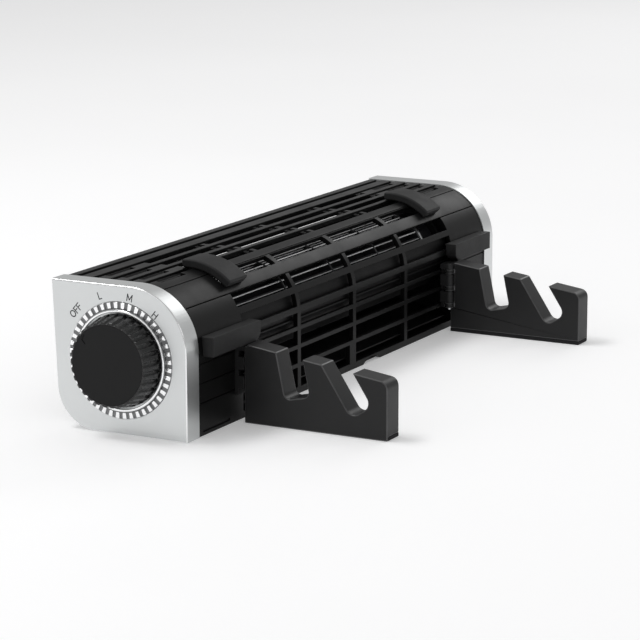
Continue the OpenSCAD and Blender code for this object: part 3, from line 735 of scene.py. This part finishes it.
class BLOWER_OT_end_caps(bpy.types.Operator):
    """Make both satin end caps with their rounded edges and seats"""

    bl_idname = "blower.end_caps"
    bl_label = "End caps"

    def cap(self, side, centre, holes):
        """One cap; holes are the steps (depth, radius) from the outer face inwards."""
        shapes = bpy.context.scene.blower_shapes
        outline = leaf_outline(0)
        corners = [math.atan2(z - centre[1], y - centre[0]) for y, z in outline]
        steps, closest = 120, 1e-3
        even = {math.tau * i / steps for i in range(steps)}
        angles = sorted({round(a % math.tau, 6) for a in corners} | even)
        angles = [a for i, a in enumerate(angles) if i == 0 or a - angles[i - 1] > closest]
        face = side * HALF_LENGTH
        inner = side * CAP_INNER_X
        rings = []

        def at(x, inset):
            rings.append((x, spread_round(leaf_outline(inset), centre, angles)))

        lip, chamfer, margin = 0.25 * MM, 0.12 * MM, 0.25 * MM
        at(inner, lip)
        at(inner + side * lip * 0.3, lip * 0.3)
        at(inner + side * lip, 0)
        at(face - side * (shapes.cap_edge + 0.15 * MM), 0)
        for x, inset in rounded_side(face, 0, shapes.cap_edge, -side):
            at(x, inset)
        at(face, shapes.cap_edge + 0.2 * MM)
        depth = 0
        for k, (next_depth, radius) in enumerate(holes):
            if k:
                rings.append((face - side * depth, circle(centre, radius + margin, angles)))
            rings.append((face - side * depth, circle(centre, radius + chamfer, angles)))
            rings.append((face - side * (depth + chamfer), circle(centre, radius, angles)))
            rings.append((face - side * next_depth, circle(centre, radius, angles)))
            depth = next_depth
        at(face - side * shapes.cap_plate, shapes.cap_wall)
        at(inner + side * lip, shapes.cap_wall)
        at(inner, shapes.cap_wall - lip * 0.4)
        return smooth(loft("end_cap", rings), TURNED_EDGE)

    def execute(self, context):
        shapes = context.scene.blower_shapes
        looks = finishes()
        silvers = [looks["satin_silver"], looks["polished_silver"]]
        plate = shapes.cap_plate
        near = self.cap(-1, (0, DIAL_Z), [
            (shapes.ring_step, RING_RADIUS + 0.1 * MM),
            (shapes.bezel_step, BEZEL_RADIUS),
            (plate, shapes.shaft_hole),
        ])
        far = self.cap(1, (INLET_Y, INLET_Z), [(plate, shapes.socket_hole)])
        for name, mesh, replaced in (("silver_cap_by_dial", near, "knob_end_cap"),
                                     ("silver_cap_by_inlet", far, "far_end_cap")):
            piece = piece_from(name, mesh, "housing", "silver_cap", silvers, (replaced,))
            # The caps' rounded outer edge, away from the dial, takes the brighter polished silver: partly a
            # polished edge, partly a painted highlight line.
            for polygon in piece.data.polygons:
                place, tilt = polygon.center, abs(polygon.normal.x)
                highlight_edge = abs(place.x) > HALF_LENGTH - shapes.cap_edge and 0.2 < tilt < 0.98
                if highlight_edge and math.hypot(place.y, place.z - DIAL_Z) > RING_RADIUS + 2 * MM:
                    polygon.material_index = 1
        return {"FINISHED"}


class BLOWER_OT_dial(bpy.types.Operator):
    """Make the serrated ring, the polished bezel and the printed labels"""

    bl_idname = "blower.dial"
    bl_label = "Dial ring and labels"

    def tooth(self):
        """One tooth at the top of the ring, as a block that narrows towards the axis."""
        shapes = bpy.context.scene.blower_shapes
        inner, outer = BEZEL_RADIUS + 0.45 * MM, RING_RADIUS - 0.1 * MM
        low, high = 0.35 * MM, -ring_low.x - HALF_LENGTH
        bm = bmesh.new()
        corners = {}
        for r in (inner, outer):
            half = math.pi * r / shapes.ring_teeth - shapes.notch_width / 2
            for x in (low, -high):
                for s in (-1, 1):
                    corners[(r, x, s)] = bm.verts.new((x, s * half, r))
        sides = ((inner, None, None), (outer, None, None), (None, low, None), (None, -high, None),
                 (None, None, -1), (None, None, 1))
        for side in sides:
            ring = [k for k in corners if all(s is None or s == v for s, v in zip(side, k))]
            a, b, c, d = [corners[k] for k in ring]
            bm.faces.new((a, b, d, c))
        bmesh.ops.recalc_face_normals(bm, faces=bm.faces)
        bmesh.ops.bevel(bm, geom=bm.edges[:], offset=0.28 * MM, segments=2, profile=0.5, affect="EDGES")
        mesh = bpy.data.meshes.new("ring_tooth")
        bm.to_mesh(mesh)
        bm.free()
        return mesh

    def labels(self, context):
        """Prints OFF, L, M and H round the ring in thin even strokes."""
        shapes = context.scene.blower_shapes
        ink = finishes()["label_ink"]
        tall, pen = shapes.label_height, shapes.label_stroke
        parts, wide = 28, 0.4
        turns = [math.tau * i / parts for i in range(parts + 1)]
        bowl = [(wide + wide * math.sin(a), 0.5 - 0.5 * math.cos(a)) for a in turns]
        strokes = {
            "O": (0.80, [bowl]),
            "F": (0.50, [[(0.5, 1), (0, 1), (0, 0)], [(0, 0.53), (0.44, 0.53)]]),
            "L": (0.46, [[(0, 1), (0, 0), (0.46, 0)]]),
            "M": (0.82, [[(0, 0), (0, 1), (0.41, 0.22), (0.82, 1), (0.82, 0)]]),
            "H": (0.66, [[(0, 0), (0, 1)], [(0.66, 0), (0.66, 1)], [(0, 0.53), (0.66, 0.53)]]),
        }
        # For each word, its angle from the rear and its radius in millimetres.
        places = {"OFF": (41.5, 34.7), "L": (69.8, 33.9), "M": (100.2, 32.8), "H": (129.2, 32.2)}
        gap, ink_half = 0.24, 0.03 * MM
        points, faces = [], []
        high, low = -HALF_LENGTH - ink_half, -HALF_LENGTH + ink_half

        def bar(start, end, place):
            """One stroke as a thin printed slab with mitred-over ends."""
            along = (end - start).normalized() * pen / 2
            side = Vector((-along.y, along.x))
            first = len(points)
            for x in (high, low):
                before, after = start - along, end + along
                for corner in (before - side, after - side, after + side, before + side):
                    points.append(place(corner, x))
            faces.extend(tuple(first + k for k in quad) for quad in
                         ((3, 2, 1, 0), (4, 5, 6, 7), (0, 1, 5, 4), (1, 2, 6, 5), (2, 3, 7, 6), (3, 0, 4, 7)))

        for word, (angle, radius) in places.items():
            a = math.radians(angle)
            up = Vector((math.cos(a), math.sin(a)))
            right = Vector((-math.sin(a), math.cos(a)))
            width = sum(strokes[c][0] for c in word) + gap * (len(word) - 1)
            origin = Vector((0, DIAL_Z)) + up * (radius * MM - tall / 2)
            cursor = -width / 2
            for letter in word:

                def place(corner, x, cursor=cursor, origin=origin, up=up, right=right):
                    flat = origin + right * (cursor * tall + corner.x) + up * corner.y
                    return (x, flat.x, flat.y)

                for line in strokes[letter][1]:
                    ends = [Vector(p) * tall for p in line]
                    for start, end in zip(ends, ends[1:]):
                        bar(start, end, place)
                cursor += strokes[letter][0] + gap
        mesh = put_right(mesh_from("dial_labels", points, faces), 1e-9)
        piece_from("dial_labels", mesh, "housing", "knob_face_black", ink, weighted=False)

    def execute(self, context):
        shapes = context.scene.blower_shapes
        looks = finishes()
        axis = (0, DIAL_Z)
        face = -HALF_LENGTH
        seat = face + shapes.ring_step
        wall_in = BEZEL_RADIUS + 0.05 * MM
        floor = turned("ring_floor", [
            (seat, wall_in), (seat, RING_RADIUS), (face + 0.22 * MM, RING_RADIUS),
            (face + 0.1 * MM, RING_RADIUS - 0.12 * MM), (face + 0.1 * MM, wall_in + 0.2 * MM),
            (face - 0.55 * MM, wall_in + 0.35 * MM), (face - 0.75 * MM, wall_in + 0.2 * MM),
            (face - 0.75 * MM, wall_in),
        ], axis, RING_STEPS)
        bright = looks["polished_silver"]
        teeth = copied_round("ring_teeth", self.tooth(), shapes.ring_teeth, (face, 0, DIAL_Z),
                             math.pi / shapes.ring_teeth, bright)
        painted_shade_faces = len(floor.polygons)
        whole = smooth(joined("serrated_ring", floor, teeth), RING_EDGE)
        ring = piece_from("serrated_ring", whole, "housing", "dial_silver", [looks["notch_silver"], bright],
                          ("dial_ring",))
        # The ring's floor faces take the darker silver, painted shade between the teeth; the teeth take the
        # polished silver.
        for polygon in ring.data.polygons:
            polygon.material_index = int(polygon.index >= painted_shade_faces)
        inner = BEZEL_RADIUS - shapes.bezel_wall
        front = bezel_low.x
        bezel = turned("polished_bezel", [
            (face + shapes.bezel_step, inner), (face + shapes.bezel_step, BEZEL_RADIUS),
            (front + 0.45 * MM, BEZEL_RADIUS),
            (front + 0.15 * MM, BEZEL_RADIUS - 0.12 * MM), (front, BEZEL_RADIUS - 0.42 * MM),
            (front, inner + 0.3 * MM), (front + 0.1 * MM, inner + 0.1 * MM), (front + 0.3 * MM, inner),
        ], axis, RING_STEPS)
        piece_from("polished_bezel", smooth(bezel, RING_EDGE), "housing", "dial_silver", bright,
                   ("dial_bezel",))
        self.labels(context)
        return {"FINISHED"}


class BLOWER_OT_knob(bpy.types.Operator):
    """Make the fluted knob and its engraved face"""

    bl_idname = "blower.knob"
    bl_label = "Knob"

    def execute(self, context):
        shapes = context.scene.blower_shapes
        looks = finishes()
        front, back = knob_low.x, knob_high.x
        face_low, face_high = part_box("knob_face")
        disc = (face_high.z - face_low.z) / 2
        base_r, rim_r = shapes.knob_base, shapes.knob_rim
        hub_r, bore, point = 6 * MM, 3.02 * MM, 0.4 * MM
        skin, hub_end, bore_end = front + 3 * MM, back - 3.2 * MM, front + 2 * MM
        hollow = rim_r - 3.2 * MM
        step = face_high.x
        slope = (base_r - rim_r) / (back - front)
        sides = [(front + t * (back - front), rim_r + slope * t * (back - front))
                 for t in (0.07, 0.2, 0.4, 0.6, 0.8, 0.95)]
        profile = [
            (step, disc + 0.05 * MM), (front + 0.08 * MM, disc + 0.05 * MM), (front, disc + 0.12 * MM),
            (front, rim_r - 0.7 * MM), (front + 0.05 * MM, rim_r - 0.4 * MM),
            (front + 0.2 * MM, rim_r - 0.15 * MM),
            (front + 0.45 * MM, rim_r),
            *sides,
            (back - 0.2 * MM, base_r - 0.04 * MM), (back, base_r - 0.25 * MM), (back, hollow + 0.2 * MM),
            (back - 0.2 * MM, hollow), (skin, hollow), (skin, hub_r), (hub_end, hub_r),
            (hub_end, bore), (bore_end, bore), (bore_end, point), (step, point),
        ]
        blank = turned("knob_blank", profile, (0, DIAL_Z), shapes.knob_flutes * 16)
        tree, sockets = flute_tree()
        knob = grown_mesh("fluted_knob", blank, tree, sockets, {
            "Flutes": shapes.knob_flutes,
            "Cutter radius": shapes.flute_radius,
            "Cutter set-out": shapes.flute_set_out,
            "Inside radius": rim_r - 0.9 * MM,
            "Axis height": DIAL_Z,
            "Finish": looks["knob_plastic"],
        })
        piece_from("fluted_knob", smooth(knob, 32), "knob", "knob_black", looks["knob_plastic"], ("knob",))
        worked_copy("knob_face", "engraved_knob_face", "knob", "knob_face_black", looks["knob_face_satin"],
                    0.07 * MM)
        return {"FINISHED"}


class BLOWER_OT_housing(bpy.types.Operator):
    """Make the slatted top, the smooth shoulder, the outlet grille, the intake panel and the floor plate"""

    bl_idname = "blower.housing"
    bl_label = "Housing"

    def prepare(self, shapes):
        skin = shapes.skin_inset
        self.middle = (-HALF_DEPTH + shapes.front_radius, HEIGHT - shapes.front_radius)
        self.radius = shapes.front_radius - skin
        self.top = HEIGHT - skin
        self.front = -HALF_DEPTH + skin
        self.wall = shapes.housing_wall
        self.end = CAP_INNER_X
        self.rib = shapes.rib_width / 2
        self.open_half = shapes.open_half
        lean = self.lean = math.atan(shapes.rear_lean / (HEIGHT - shapes.rear_radius))
        self.rear_middle = (HALF_DEPTH - shapes.rear_radius, shapes.rear_radius)
        self.rear_r = shapes.rear_radius - skin
        self.rear_foot = (self.rear_middle[0] + self.rear_r * math.cos(lean),
                          self.rear_middle[1] - self.rear_r * math.sin(lean))
        self.rib_marks = [k * shapes.rib_pitch + s * self.rib for k in (-1, 0, 1) for s in (-1, 1)]

    def rear_y(self, z):
        return self.rear_foot[0] + (z - self.rear_foot[1]) * math.tan(self.lean)

    def both_ways(self, *values):
        return [s * v for s in (-1, 1) for v in values]

    def at_corner(self, angles):
        """Profile points at angles round the front corner, in degrees from its top."""
        return [arc_path(self.middle, self.radius, CORNER_END + a, CORNER_END + a, 1)[0] for a in angles]

    def slatted_top(self, shapes):
        """The top with its long grooves, its slots between the ribs and the short slots at the ends."""
        out = (-math.cos(self.lean), math.sin(self.lean))
        lip = self.top - shapes.lip
        corner_y = self.rear_y(self.top)
        mitre = (-(1 + math.sin(self.lean)) / math.cos(self.lean), -1.0)
        rear = HALF_DEPTH - shapes.rear_groove
        marks = [rear, rear + shapes.groove_width]
        for k in range(4):
            y = HALF_DEPTH - shapes.first_slat - k * shapes.row_pitch
            marks += [y, y - shapes.groove_width, y - shapes.groove_width - shapes.slot_width]
        flat = sorted({round(m, 7) for m in marks if m > self.middle[0] + 1e-5}, reverse=True)
        path = [((self.rear_y(lip), lip), out), ((corner_y, self.top), mitre)]
        path += [((y, self.top), (0, -1)) for y in flat]
        over = [m for m in marks if m < self.middle[0] - 1e-5]
        angles = sorted({0.0, *[math.degrees(math.asin((self.middle[0] - m) / self.radius)) for m in over],
                         *even_steps(0, TOP_END, 7), TOP_END})
        path += self.at_corner(angles)
        places = [y for (y, _), _ in path]

        def level(x, k):
            if k < 1:
                return 0.0
            y = (places[k] + places[k + 1]) / 2
            if rear < y < rear + shapes.groove_width:
                return shapes.groove_depth
            for n in range(4):
                start = HALF_DEPTH - shapes.first_slat - n * shapes.row_pitch
                groove = start - shapes.groove_width
                slot = groove - shapes.slot_width
                if slot < y < start:
                    if in_bay(x, self.rib, shapes.slot_half):
                        return None
                    if y > groove:
                        return shapes.groove_depth
                    return None if shapes.end_slot_from < abs(x) < shapes.end_slot_to else 0.0
            return 0.0

        stations = with_marks(self.both_ways(self.end), self.rib_marks + self.both_ways(
            shapes.slot_half, shapes.end_slot_from, shapes.end_slot_to))
        return skin_mesh("slatted_top", path, stations, level, self.wall, [shapes.groove_depth])

    def smooth_shoulder(self, shapes):
        """The smooth band over the corner, open above the fan."""
        rib = self.rib + shapes.window_margin
        angles = with_marks([SHOULDER_FROM, WINDOW_FROM, WINDOW_TO, SHOULDER_TO],
                            even_steps(WINDOW_FROM, WINDOW_TO, 5) + even_steps(WINDOW_TO, SHOULDER_TO, 5))

        def level(x, k):
            a = (angles[k] + angles[k + 1]) / 2
            return None if WINDOW_FROM < a < WINDOW_TO and in_bay(x, rib, self.open_half) else 0.0

        marks = [k * shapes.rib_pitch + s * rib for k in (-1, 0, 1) for s in (-1, 1)]
        stations = with_marks(self.both_ways(self.end), marks + self.both_ways(self.open_half))
        return skin_mesh("smooth_shoulder", self.at_corner(angles), stations, level, self.wall, [])

    def outlet_grille(self, shapes):
        """The front with its outlet rows, closed ends and notched bottom beam."""
        angles = with_marks(
            [GRILLE_FROM, UPPER_ROW_TO, LOWER_ROW_FROM, LOWER_ROW_TO, CORNER_END],
            even_steps(GRILLE_FROM, UPPER_ROW_TO, 6) + even_steps(UPPER_ROW_TO, LOWER_ROW_FROM, 3)
            + even_steps(LOWER_ROW_FROM, LOWER_ROW_TO, 5) + even_steps(LOWER_ROW_TO, CORNER_END, 2))
        path = self.at_corner(angles)
        bar, pitch, low = shapes.bar_height, shapes.row_pitch, shapes.low_bar
        rows = [(low + bar + k * pitch, low + (k + 1) * pitch) for k in range(3)] + [(shapes.beam, low)]
        grooves = [(low + bar + k * pitch, low + bar + k * pitch + shapes.end_groove) for k in range(3)]
        slit = (shapes.slit_low, shapes.slit_high)
        cuts = {round(v, 7) for pair in rows + grooves + [slit] for v in pair}
        heights = sorted((h for h in cuts | {0.0} if h < self.middle[1] - 1e-5), reverse=True)
        path += [((self.front, h), (1, 0)) for h in heights]
        n = len(angles)
        mid_from, mid_to = shapes.mid_rib_from, shapes.mid_rib_to
        groove_from = self.open_half + shapes.end_margin

        def level(x, k):
            bay = in_bay(x, self.rib, self.open_half)
            if k < n - 1:
                a = (angles[k] + angles[k + 1]) / 2
                return None if bay and (a < UPPER_ROW_TO or LOWER_ROW_FROM < a < LOWER_ROW_TO) else 0.0
            z = (path[k][0][1] + path[k + 1][0][1]) / 2
            if bay:
                for low_z, high_z in rows:
                    if low_z < z < high_z:
                        if high_z == low and mid_from < x < mid_to:
                            return 0.0
                        return None
            if abs(x) > groove_from and any(a < z < b for a, b in grooves):
                return shapes.end_groove_depth
            if shapes.slit_from < abs(x) < shapes.slit_to and slit[0] < z < slit[1]:
                return shapes.end_groove_depth
            return 0.0

        def notch(place, j):
            """Lifts the beam's lower edge into the finger notch."""
            reach = abs(place.x - shapes.notch_x)
            if j == len(path) - 1 and reach < shapes.notch_radius:
                place.z = max(0.0, shapes.notch_z + math.sqrt(shapes.notch_radius ** 2 - reach ** 2))
            return place

        half = math.sqrt(shapes.notch_radius ** 2 - shapes.notch_z ** 2)
        stations = with_marks(self.both_ways(self.end), self.rib_marks + [mid_from, mid_to]
                              + self.both_ways(self.open_half, groove_from, shapes.slit_from, shapes.slit_to)
                              + [shapes.notch_x - half * math.cos(math.pi * i / 12) for i in range(13)])
        return skin_mesh("outlet_grille", path, stations, level, self.wall, [shapes.end_groove_depth], notch)

    def intake_panel(self, shapes):
        """The leaning back with its intake rows."""
        path = arc_path(self.rear_middle, self.rear_r, -90, -math.degrees(self.lean), 16)
        out = (-math.cos(self.lean), math.sin(self.lean))
        lows = [shapes.intake_low + k * shapes.row_pitch for k in range(4)]
        rows = [(low, low + shapes.intake_height) for low in lows]
        heights = sorted({round(v, 7) for pair in rows for v in pair} | {self.top - shapes.lip - 0.3 * MM})
        n = len(path)
        path += [((self.rear_y(h), h), out) for h in heights]

        def level(x, k):
            if k < n - 1:
                return 0.0
            z = (path[k][0][1] + path[k + 1][0][1]) / 2
            return None if in_bay(x, self.rib, self.open_half) and any(a < z < b for a, b in rows) else 0.0

        stations = with_marks(self.both_ways(self.end), self.rib_marks + self.both_ways(self.open_half))
        return skin_mesh("intake_panel", path, stations, level, self.wall, [])

    def execute(self, context):
        shapes = context.scene.blower_shapes
        self.prepare(shapes)
        edge = shapes.housing_edge
        black = finishes()["moulded_black"]
        for make, node_name in (
            (self.slatted_top, "top_cover"),
            (self.smooth_shoulder, "shoulder_cover"),
            (self.outlet_grille, "front_grille"),
            (self.intake_panel, "rear_panel"),
        ):
            mesh = smooth(make(shapes), MOULDED_EDGE)
            skin = piece_from(mesh.name, mesh, "housing", "housing_black", black, (node_name,),
                              weighted=False)
            round_edges(skin, edge)
        worked_copy("base_plate", "floor_plate", "housing", "housing_black", black, edge)
        return {"FINISHED"}


class BLOWER_OT_rests(bpy.types.Operator):
    """Make the soft-edged rubber saddles and bumpers"""

    bl_idname = "blower.rests"
    bl_label = "Rubber rests"

    def execute(self, context):
        edge = context.scene.blower_shapes.rest_edge
        rubber = finishes()["grained_rubber"]
        steps, angle = 3, 50
        for side in ("near", "far"):
            for kind in ("saddle", "bumper"):
                worked_copy(f"{side}_{kind}", f"{side}_rubber_{kind}", "housing", f"{kind}_rubber", rubber,
                            edge, steps, angle)
        return {"FINISHED"}


class BLOWER_OT_feet(bpy.types.Operator):
    """Make the slotted feet, their soles and hinge brackets with soft edges"""

    bl_idname = "blower.feet"
    bl_label = "Feet"

    def execute(self, context):
        edge = context.scene.blower_shapes.foot_edge
        looks = finishes()
        for side in ("near", "far"):
            body = f"{side}_foot"
            # The feet's rounded edges take the lighter foot edge black, a painted highlight.
            worked_copy(f"{side}_foot", f"{side}_slotted_foot", body, "foot_black",
                        [looks["foot_plastic"], looks["foot_edge"]], edge, 3, clamp=False)
            worked_copy(f"{side}_foot_sole", f"{side}_rubber_sole", body, "sole_rubber", looks["sole_grip"],
                        0.3 * MM)
            worked_copy(f"{side}_hinge_bracket", f"{side}_hinge_ears", "housing", "foot_black",
                        looks["foot_plastic"], 0.2 * MM)
        return {"FINISHED"}


class BLOWER_OT_fan(bpy.types.Operator):
    """Make the long fan wheel with its curved blades"""

    bl_idname = "blower.fan"
    bl_label = "Fan wheel"

    def blade(self):
        """One long curved blade above the axis, as a closed shell with a rolled bead on its hollow side."""
        shapes = bpy.context.scene.blower_shapes
        bend, half = shapes.blade_bend, shapes.blade_thickness / 2
        centre = Vector((WHEEL_RADIUS - 4.5 * MM, 5.2 * MM))
        arc = range(214, 313, 14)
        outer = [(a, half) for a in arc]
        crest = -half - shapes.blade_bead
        inner = [(312, -half), (302, -half), (293, -half), (291.5, crest), (287, crest), (285.5, -half)]
        inner += [(a, -half) for a in reversed(arc[:5])]
        kept = [tuple(centre + (bend + out) * Vector((math.cos(math.radians(a)), math.sin(math.radians(a)))))
                for a, out in outer + inner]
        low, high = wheel_low.x + 0.6 * MM, wheel_high.x - 0.6 * MM
        n = len(kept)
        points = [(x, a, b) for x in (low, high) for a, b in kept]
        faces = [(i, (i + 1) % n, n + (i + 1) % n, n + i) for i in range(n)]
        faces += [tuple(range(n)), tuple(reversed(range(n, 2 * n)))]
        return smooth(put_right(mesh_from("fan_blade", points, faces)), TURNED_EDGE)

    def execute(self, context):
        shapes = context.scene.blower_shapes
        looks = finishes()
        axis = (WHEEL_AXIS.y, WHEEL_AXIS.z)
        thick, edge, bore = shapes.disc_thickness, 0.2 * MM, 3.03 * MM
        discs = []
        for k in range(5):
            x = wheel_low.x + k * (wheel_high.x - wheel_low.x - thick) / 4
            inner = bore if k in (0, 4) else WHEEL_RADIUS - 9 * MM
            discs.append(turned("fan_disc", [
                (x, inner), (x, WHEEL_RADIUS - edge), (x + edge, WHEEL_RADIUS),
                (x + thick - edge, WHEEL_RADIUS),
                (x + thick, WHEEL_RADIUS - edge), (x + thick, inner),
            ], axis, 72))
        blades = copied_round("fan_blades", self.blade(), shapes.fan_blades, tuple(WHEEL_AXIS), 0.0,
                              looks["blade_sheet"])
        whole = smooth(joined("bladed_wheel", blades, *discs), TURNED_EDGE)
        # Blade faces take the darkened silver as painted shade; the long narrow tips and beads take the
        # near-white painted highlight.
        blade_looks = [looks["blade_sheet"], looks["blade_tip"]]
        wheel = piece_from("bladed_wheel", whole, "fan", "fan_silver", blade_looks, ("fan_wheel",))
        run = wheel_high.x - wheel_low.x - 2 * thick
        for polygon in wheel.data.polygons:
            along = [wheel.data.vertices[v].co.x for v in polygon.vertices]
            if max(along) - min(along) > run and polygon.area < shapes.widest_bright * run:
                polygon.material_index = 1
        return {"FINISHED"}


class BLOWER_OT_screws(bpy.types.Operator):
    """Make the countersunk cross-head screws in the floor plate"""

    bl_idname = "blower.screws"
    bl_label = "Base screws"

    def execute(self, context):
        looks = finishes()
        low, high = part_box("base_screws")
        head = 2.8 * MM
        centres = [(x, y, 0) for x in (low.x + head, high.x - head) for y in (low.y + head, high.y - head)]
        steps = 32
        bottom = low.z
        recess, brim, thick, arm = bottom + 0.75 * MM, 0.25 * MM, bottom + 1.0 * MM, 1.9
        point, tip, shank, mouth = 0.01 * MM, 0.9 * MM, 1.3 * MM, 1.5 * MM
        rings = [(recess, point), (recess, tip), (bottom, mouth), (bottom, head - brim),
                 (bottom + brim, head), (thick, head), (thick, shank), (high.z - 0.4 * MM, shank),
                 (high.z, tip), (high.z, point)]
        points, faces = [], []
        for k, (z, r) in enumerate(rings):
            for i in range(steps):
                a = math.tau * i / steps
                cross = k == 1 and i % 8 in (0, 1, 7)
                reach = r * arm if cross else r
                points.append((reach * math.cos(a), reach * math.sin(a), z))
        for k in range(len(rings) - 1):
            for i in range(steps):
                j = (i + 1) % steps
                faces.append((k * steps + i, k * steps + j, (k + 1) * steps + j, (k + 1) * steps + i))
        faces.append(tuple(range(steps)))
        faces.append(tuple((len(rings) - 1) * steps + i for i in range(steps)))
        screw = smooth(put_right(mesh_from("cross_screw", points, faces), 1e-8), TURNED_EDGE)
        spots = mesh_from("screw_places", centres, [])
        mesh = copied("cross_screws", screw, spots, places_tree(), {"Finish": looks["turned_steel"]})
        piece_from("cross_head_screws", smooth(mesh, TURNED_EDGE), "housing", "steel", looks["turned_steel"],
                   ("base_screws",))
        return {"FINISHED"}


class BLOWER_OT_inside(bpy.types.Operator):
    """Give the inner pieces their finishes and soft edges"""

    bl_idname = "blower.inside"
    bl_label = "Inner pieces"

    def execute(self, context):
        looks = finishes()
        for node_name, name, slot, look, edge in (
            ("near_bulkhead", "bulkhead_by_dial", "inner_black", "inner_plastic", 0.3),
            ("far_bulkhead", "bulkhead_by_motor", "inner_black", "inner_plastic", 0.3),
            ("tongue_guide", "outlet_lip", "guide_grey", "guide_lacquer", 0.15),
            ("motor_can", "motor_drum", "motor_black", "motor_lacquer", 0.8),
            ("motor_face", "motor_front_ring", "steel", "turned_steel", 0.3),
            ("motor_clamp", "motor_collar", "inner_black", "inner_plastic", 0.4),
            ("bearing_holder", "bearing_cup", "inner_black", "inner_plastic", 0.3),
            ("switch_body", "rotary_switch", "inner_black", "inner_plastic", 0.4),
            ("power_inlet", "inlet_socket", "inner_black", "inner_plastic", 0.25),
            ("control_board", "control_board_green", "board_green", "board_lacquer", 0.15),
            ("board_parts", "board_components", "board_parts", "motor_lacquer", 0.4),
        ):
            worked_copy(node_name, name, "housing", slot, looks[look], edge * MM)
        for node_name, look in (
            ("scroll_guide", "dark_sheet"),
            ("switch_shaft", "turned_steel"),
            ("switch_nut", "turned_steel"),
            ("fan_shaft", "turned_steel"),
            ("bearing_bush", "sole_grip"),
            ("inlet_pin", "turned_steel"),
            ("hinge_pins", "turned_steel"),
        ):
            mesh = frame["nodes"][node_name].data
            mesh.materials.clear()
            mesh.materials.append(looks[look])
        return {"FINISHED"}


class BLOWER_OT_stage(bpy.types.Operator):
    """Set up the camera, the pale floor and the soft lights"""

    bl_idname = "blower.stage"
    bl_label = "Stage"

    def soft_light(self, name, place, aim, size, watts):
        light = bpy.data.lights.new(name, "AREA")
        light.shape = "RECTANGLE"
        light.size, light.size_y = size
        light.energy = watts
        holder = bpy.data.objects.new(name, light)
        holder.location = place
        holder.rotation_mode = "QUATERNION"
        holder.rotation_quaternion = (Vector(aim) - Vector(place)).to_track_quat("-Z", "Y")
        bpy.context.scene.collection.objects.link(holder)

    def execute(self, context):
        scene = context.scene
        studio = scene.blower_studio
        lens = bpy.data.cameras.new("studio_camera")
        lens.sensor_width = 36
        lens.lens = studio.camera_lens
        lens.clip_start, lens.clip_end = 0.05, 60
        camera = bpy.data.objects.new("studio_camera", lens)
        camera.location = studio.camera_place
        camera.rotation_mode = "QUATERNION"
        camera.rotation_quaternion = Quaternion(studio.camera_turn)
        scene.collection.objects.link(camera)
        scene.camera = camera

        reach, drop = 9, -0.15 * MM
        corners = [(x * reach, y * reach, drop) for x, y in ((-1, -1), (1, -1), (1, 1), (-1, 1))]
        floor_mesh = mesh_from("floor", corners, [(0, 1, 2, 3)])
        floor = bpy.data.objects.new("floor", floor_mesh)
        scene.collection.objects.link(floor)
        white = scene.blower_finishes.floor_white
        paint = finish("floor_paint", white, 0.6, specular=0.3, grain=2, depth=0.01, mottle=0.01, patch=500)
        shader = next(n for n in paint.node_tree.nodes if n.type == "BSDF_PRINCIPLED")
        shader.inputs["Emission Color"].default_value = (1, 1, 1, 1)
        shader.inputs["Emission Strength"].default_value = studio.floor_glow
        floor_mesh.materials.append(paint)

        world = bpy.data.worlds.new("studio")
        world.use_nodes = True
        room = world.node_tree.nodes["Background"].inputs
        room["Color"].default_value = (1, 1, 1, 1)
        room["Strength"].default_value = studio.sky
        scene.world = world
        scene.view_settings.view_transform = "Standard"
        scene.view_settings.look = "None"

        middle, dial = (0, 0, 0.04), (-0.18, 0, 0.04)
        for light in (
            ("top_light", (-0.3, 0.65, 1.5), middle, (0.8, 0.5), studio.key_watts),
            ("rim_light", (2.2, -0.2, 1.2), middle, (1.1, 0.8), studio.rim_watts),
            ("dial_light", (-1.5, 0.35, 0.7), dial, (0.9, 0.9), studio.side_watts),
            ("front_light", (-0.4, -1.7, 0.8), middle, (1.4, 0.6), studio.front_watts),
        ):
            self.soft_light(*light)
        return {"FINISHED"}


class BLOWER_PT_panel(bpy.types.Panel):
    """The blower's sizes, finishes and steps"""

    bl_idname = "BLOWER_PT_panel"
    bl_label = "Blower"
    bl_space_type = "VIEW_3D"
    bl_region_type = "UI"
    bl_category = "Blower"

    def draw(self, context):
        layout = self.layout
        for title, group in (
            ("Shapes", context.scene.blower_shapes),
            ("Finishes", context.scene.blower_finishes),
            ("Studio", context.scene.blower_studio),
        ):
            box = layout.box()
            box.label(text=title)
            for name in group.bl_rna.properties.keys():
                if name not in ("rna_type", "name"):
                    box.prop(group, name)
        for step in STEPS:
            layout.operator(step.bl_idname)


GROUPS = (BlowerShapes, BlowerFinishes, BlowerStudio)
STEPS = (
    BLOWER_OT_stage,
    BLOWER_OT_end_caps,
    BLOWER_OT_dial,
    BLOWER_OT_knob,
    BLOWER_OT_housing,
    BLOWER_OT_rests,
    BLOWER_OT_feet,
    BLOWER_OT_fan,
    BLOWER_OT_screws,
    BLOWER_OT_inside,
)
CLASSES = GROUPS + STEPS + (BLOWER_PT_panel,)


def register():
    for each in CLASSES:
        bpy.utils.register_class(each)
    bpy.types.Scene.blower_shapes = bpy.props.PointerProperty(type=BlowerShapes)
    bpy.types.Scene.blower_finishes = bpy.props.PointerProperty(type=BlowerFinishes)
    bpy.types.Scene.blower_studio = bpy.props.PointerProperty(type=BlowerStudio)


def unregister():
    for name in ("blower_shapes", "blower_finishes", "blower_studio"):
        delattr(bpy.types.Scene, name)
    for each in reversed(CLASSES):
        bpy.utils.unregister_class(each)


def main():
    register()
    for step in STEPS:
        getattr(bpy.ops.blower, step.bl_idname.split(".")[1])()


if __name__ == "__main__":
    main()
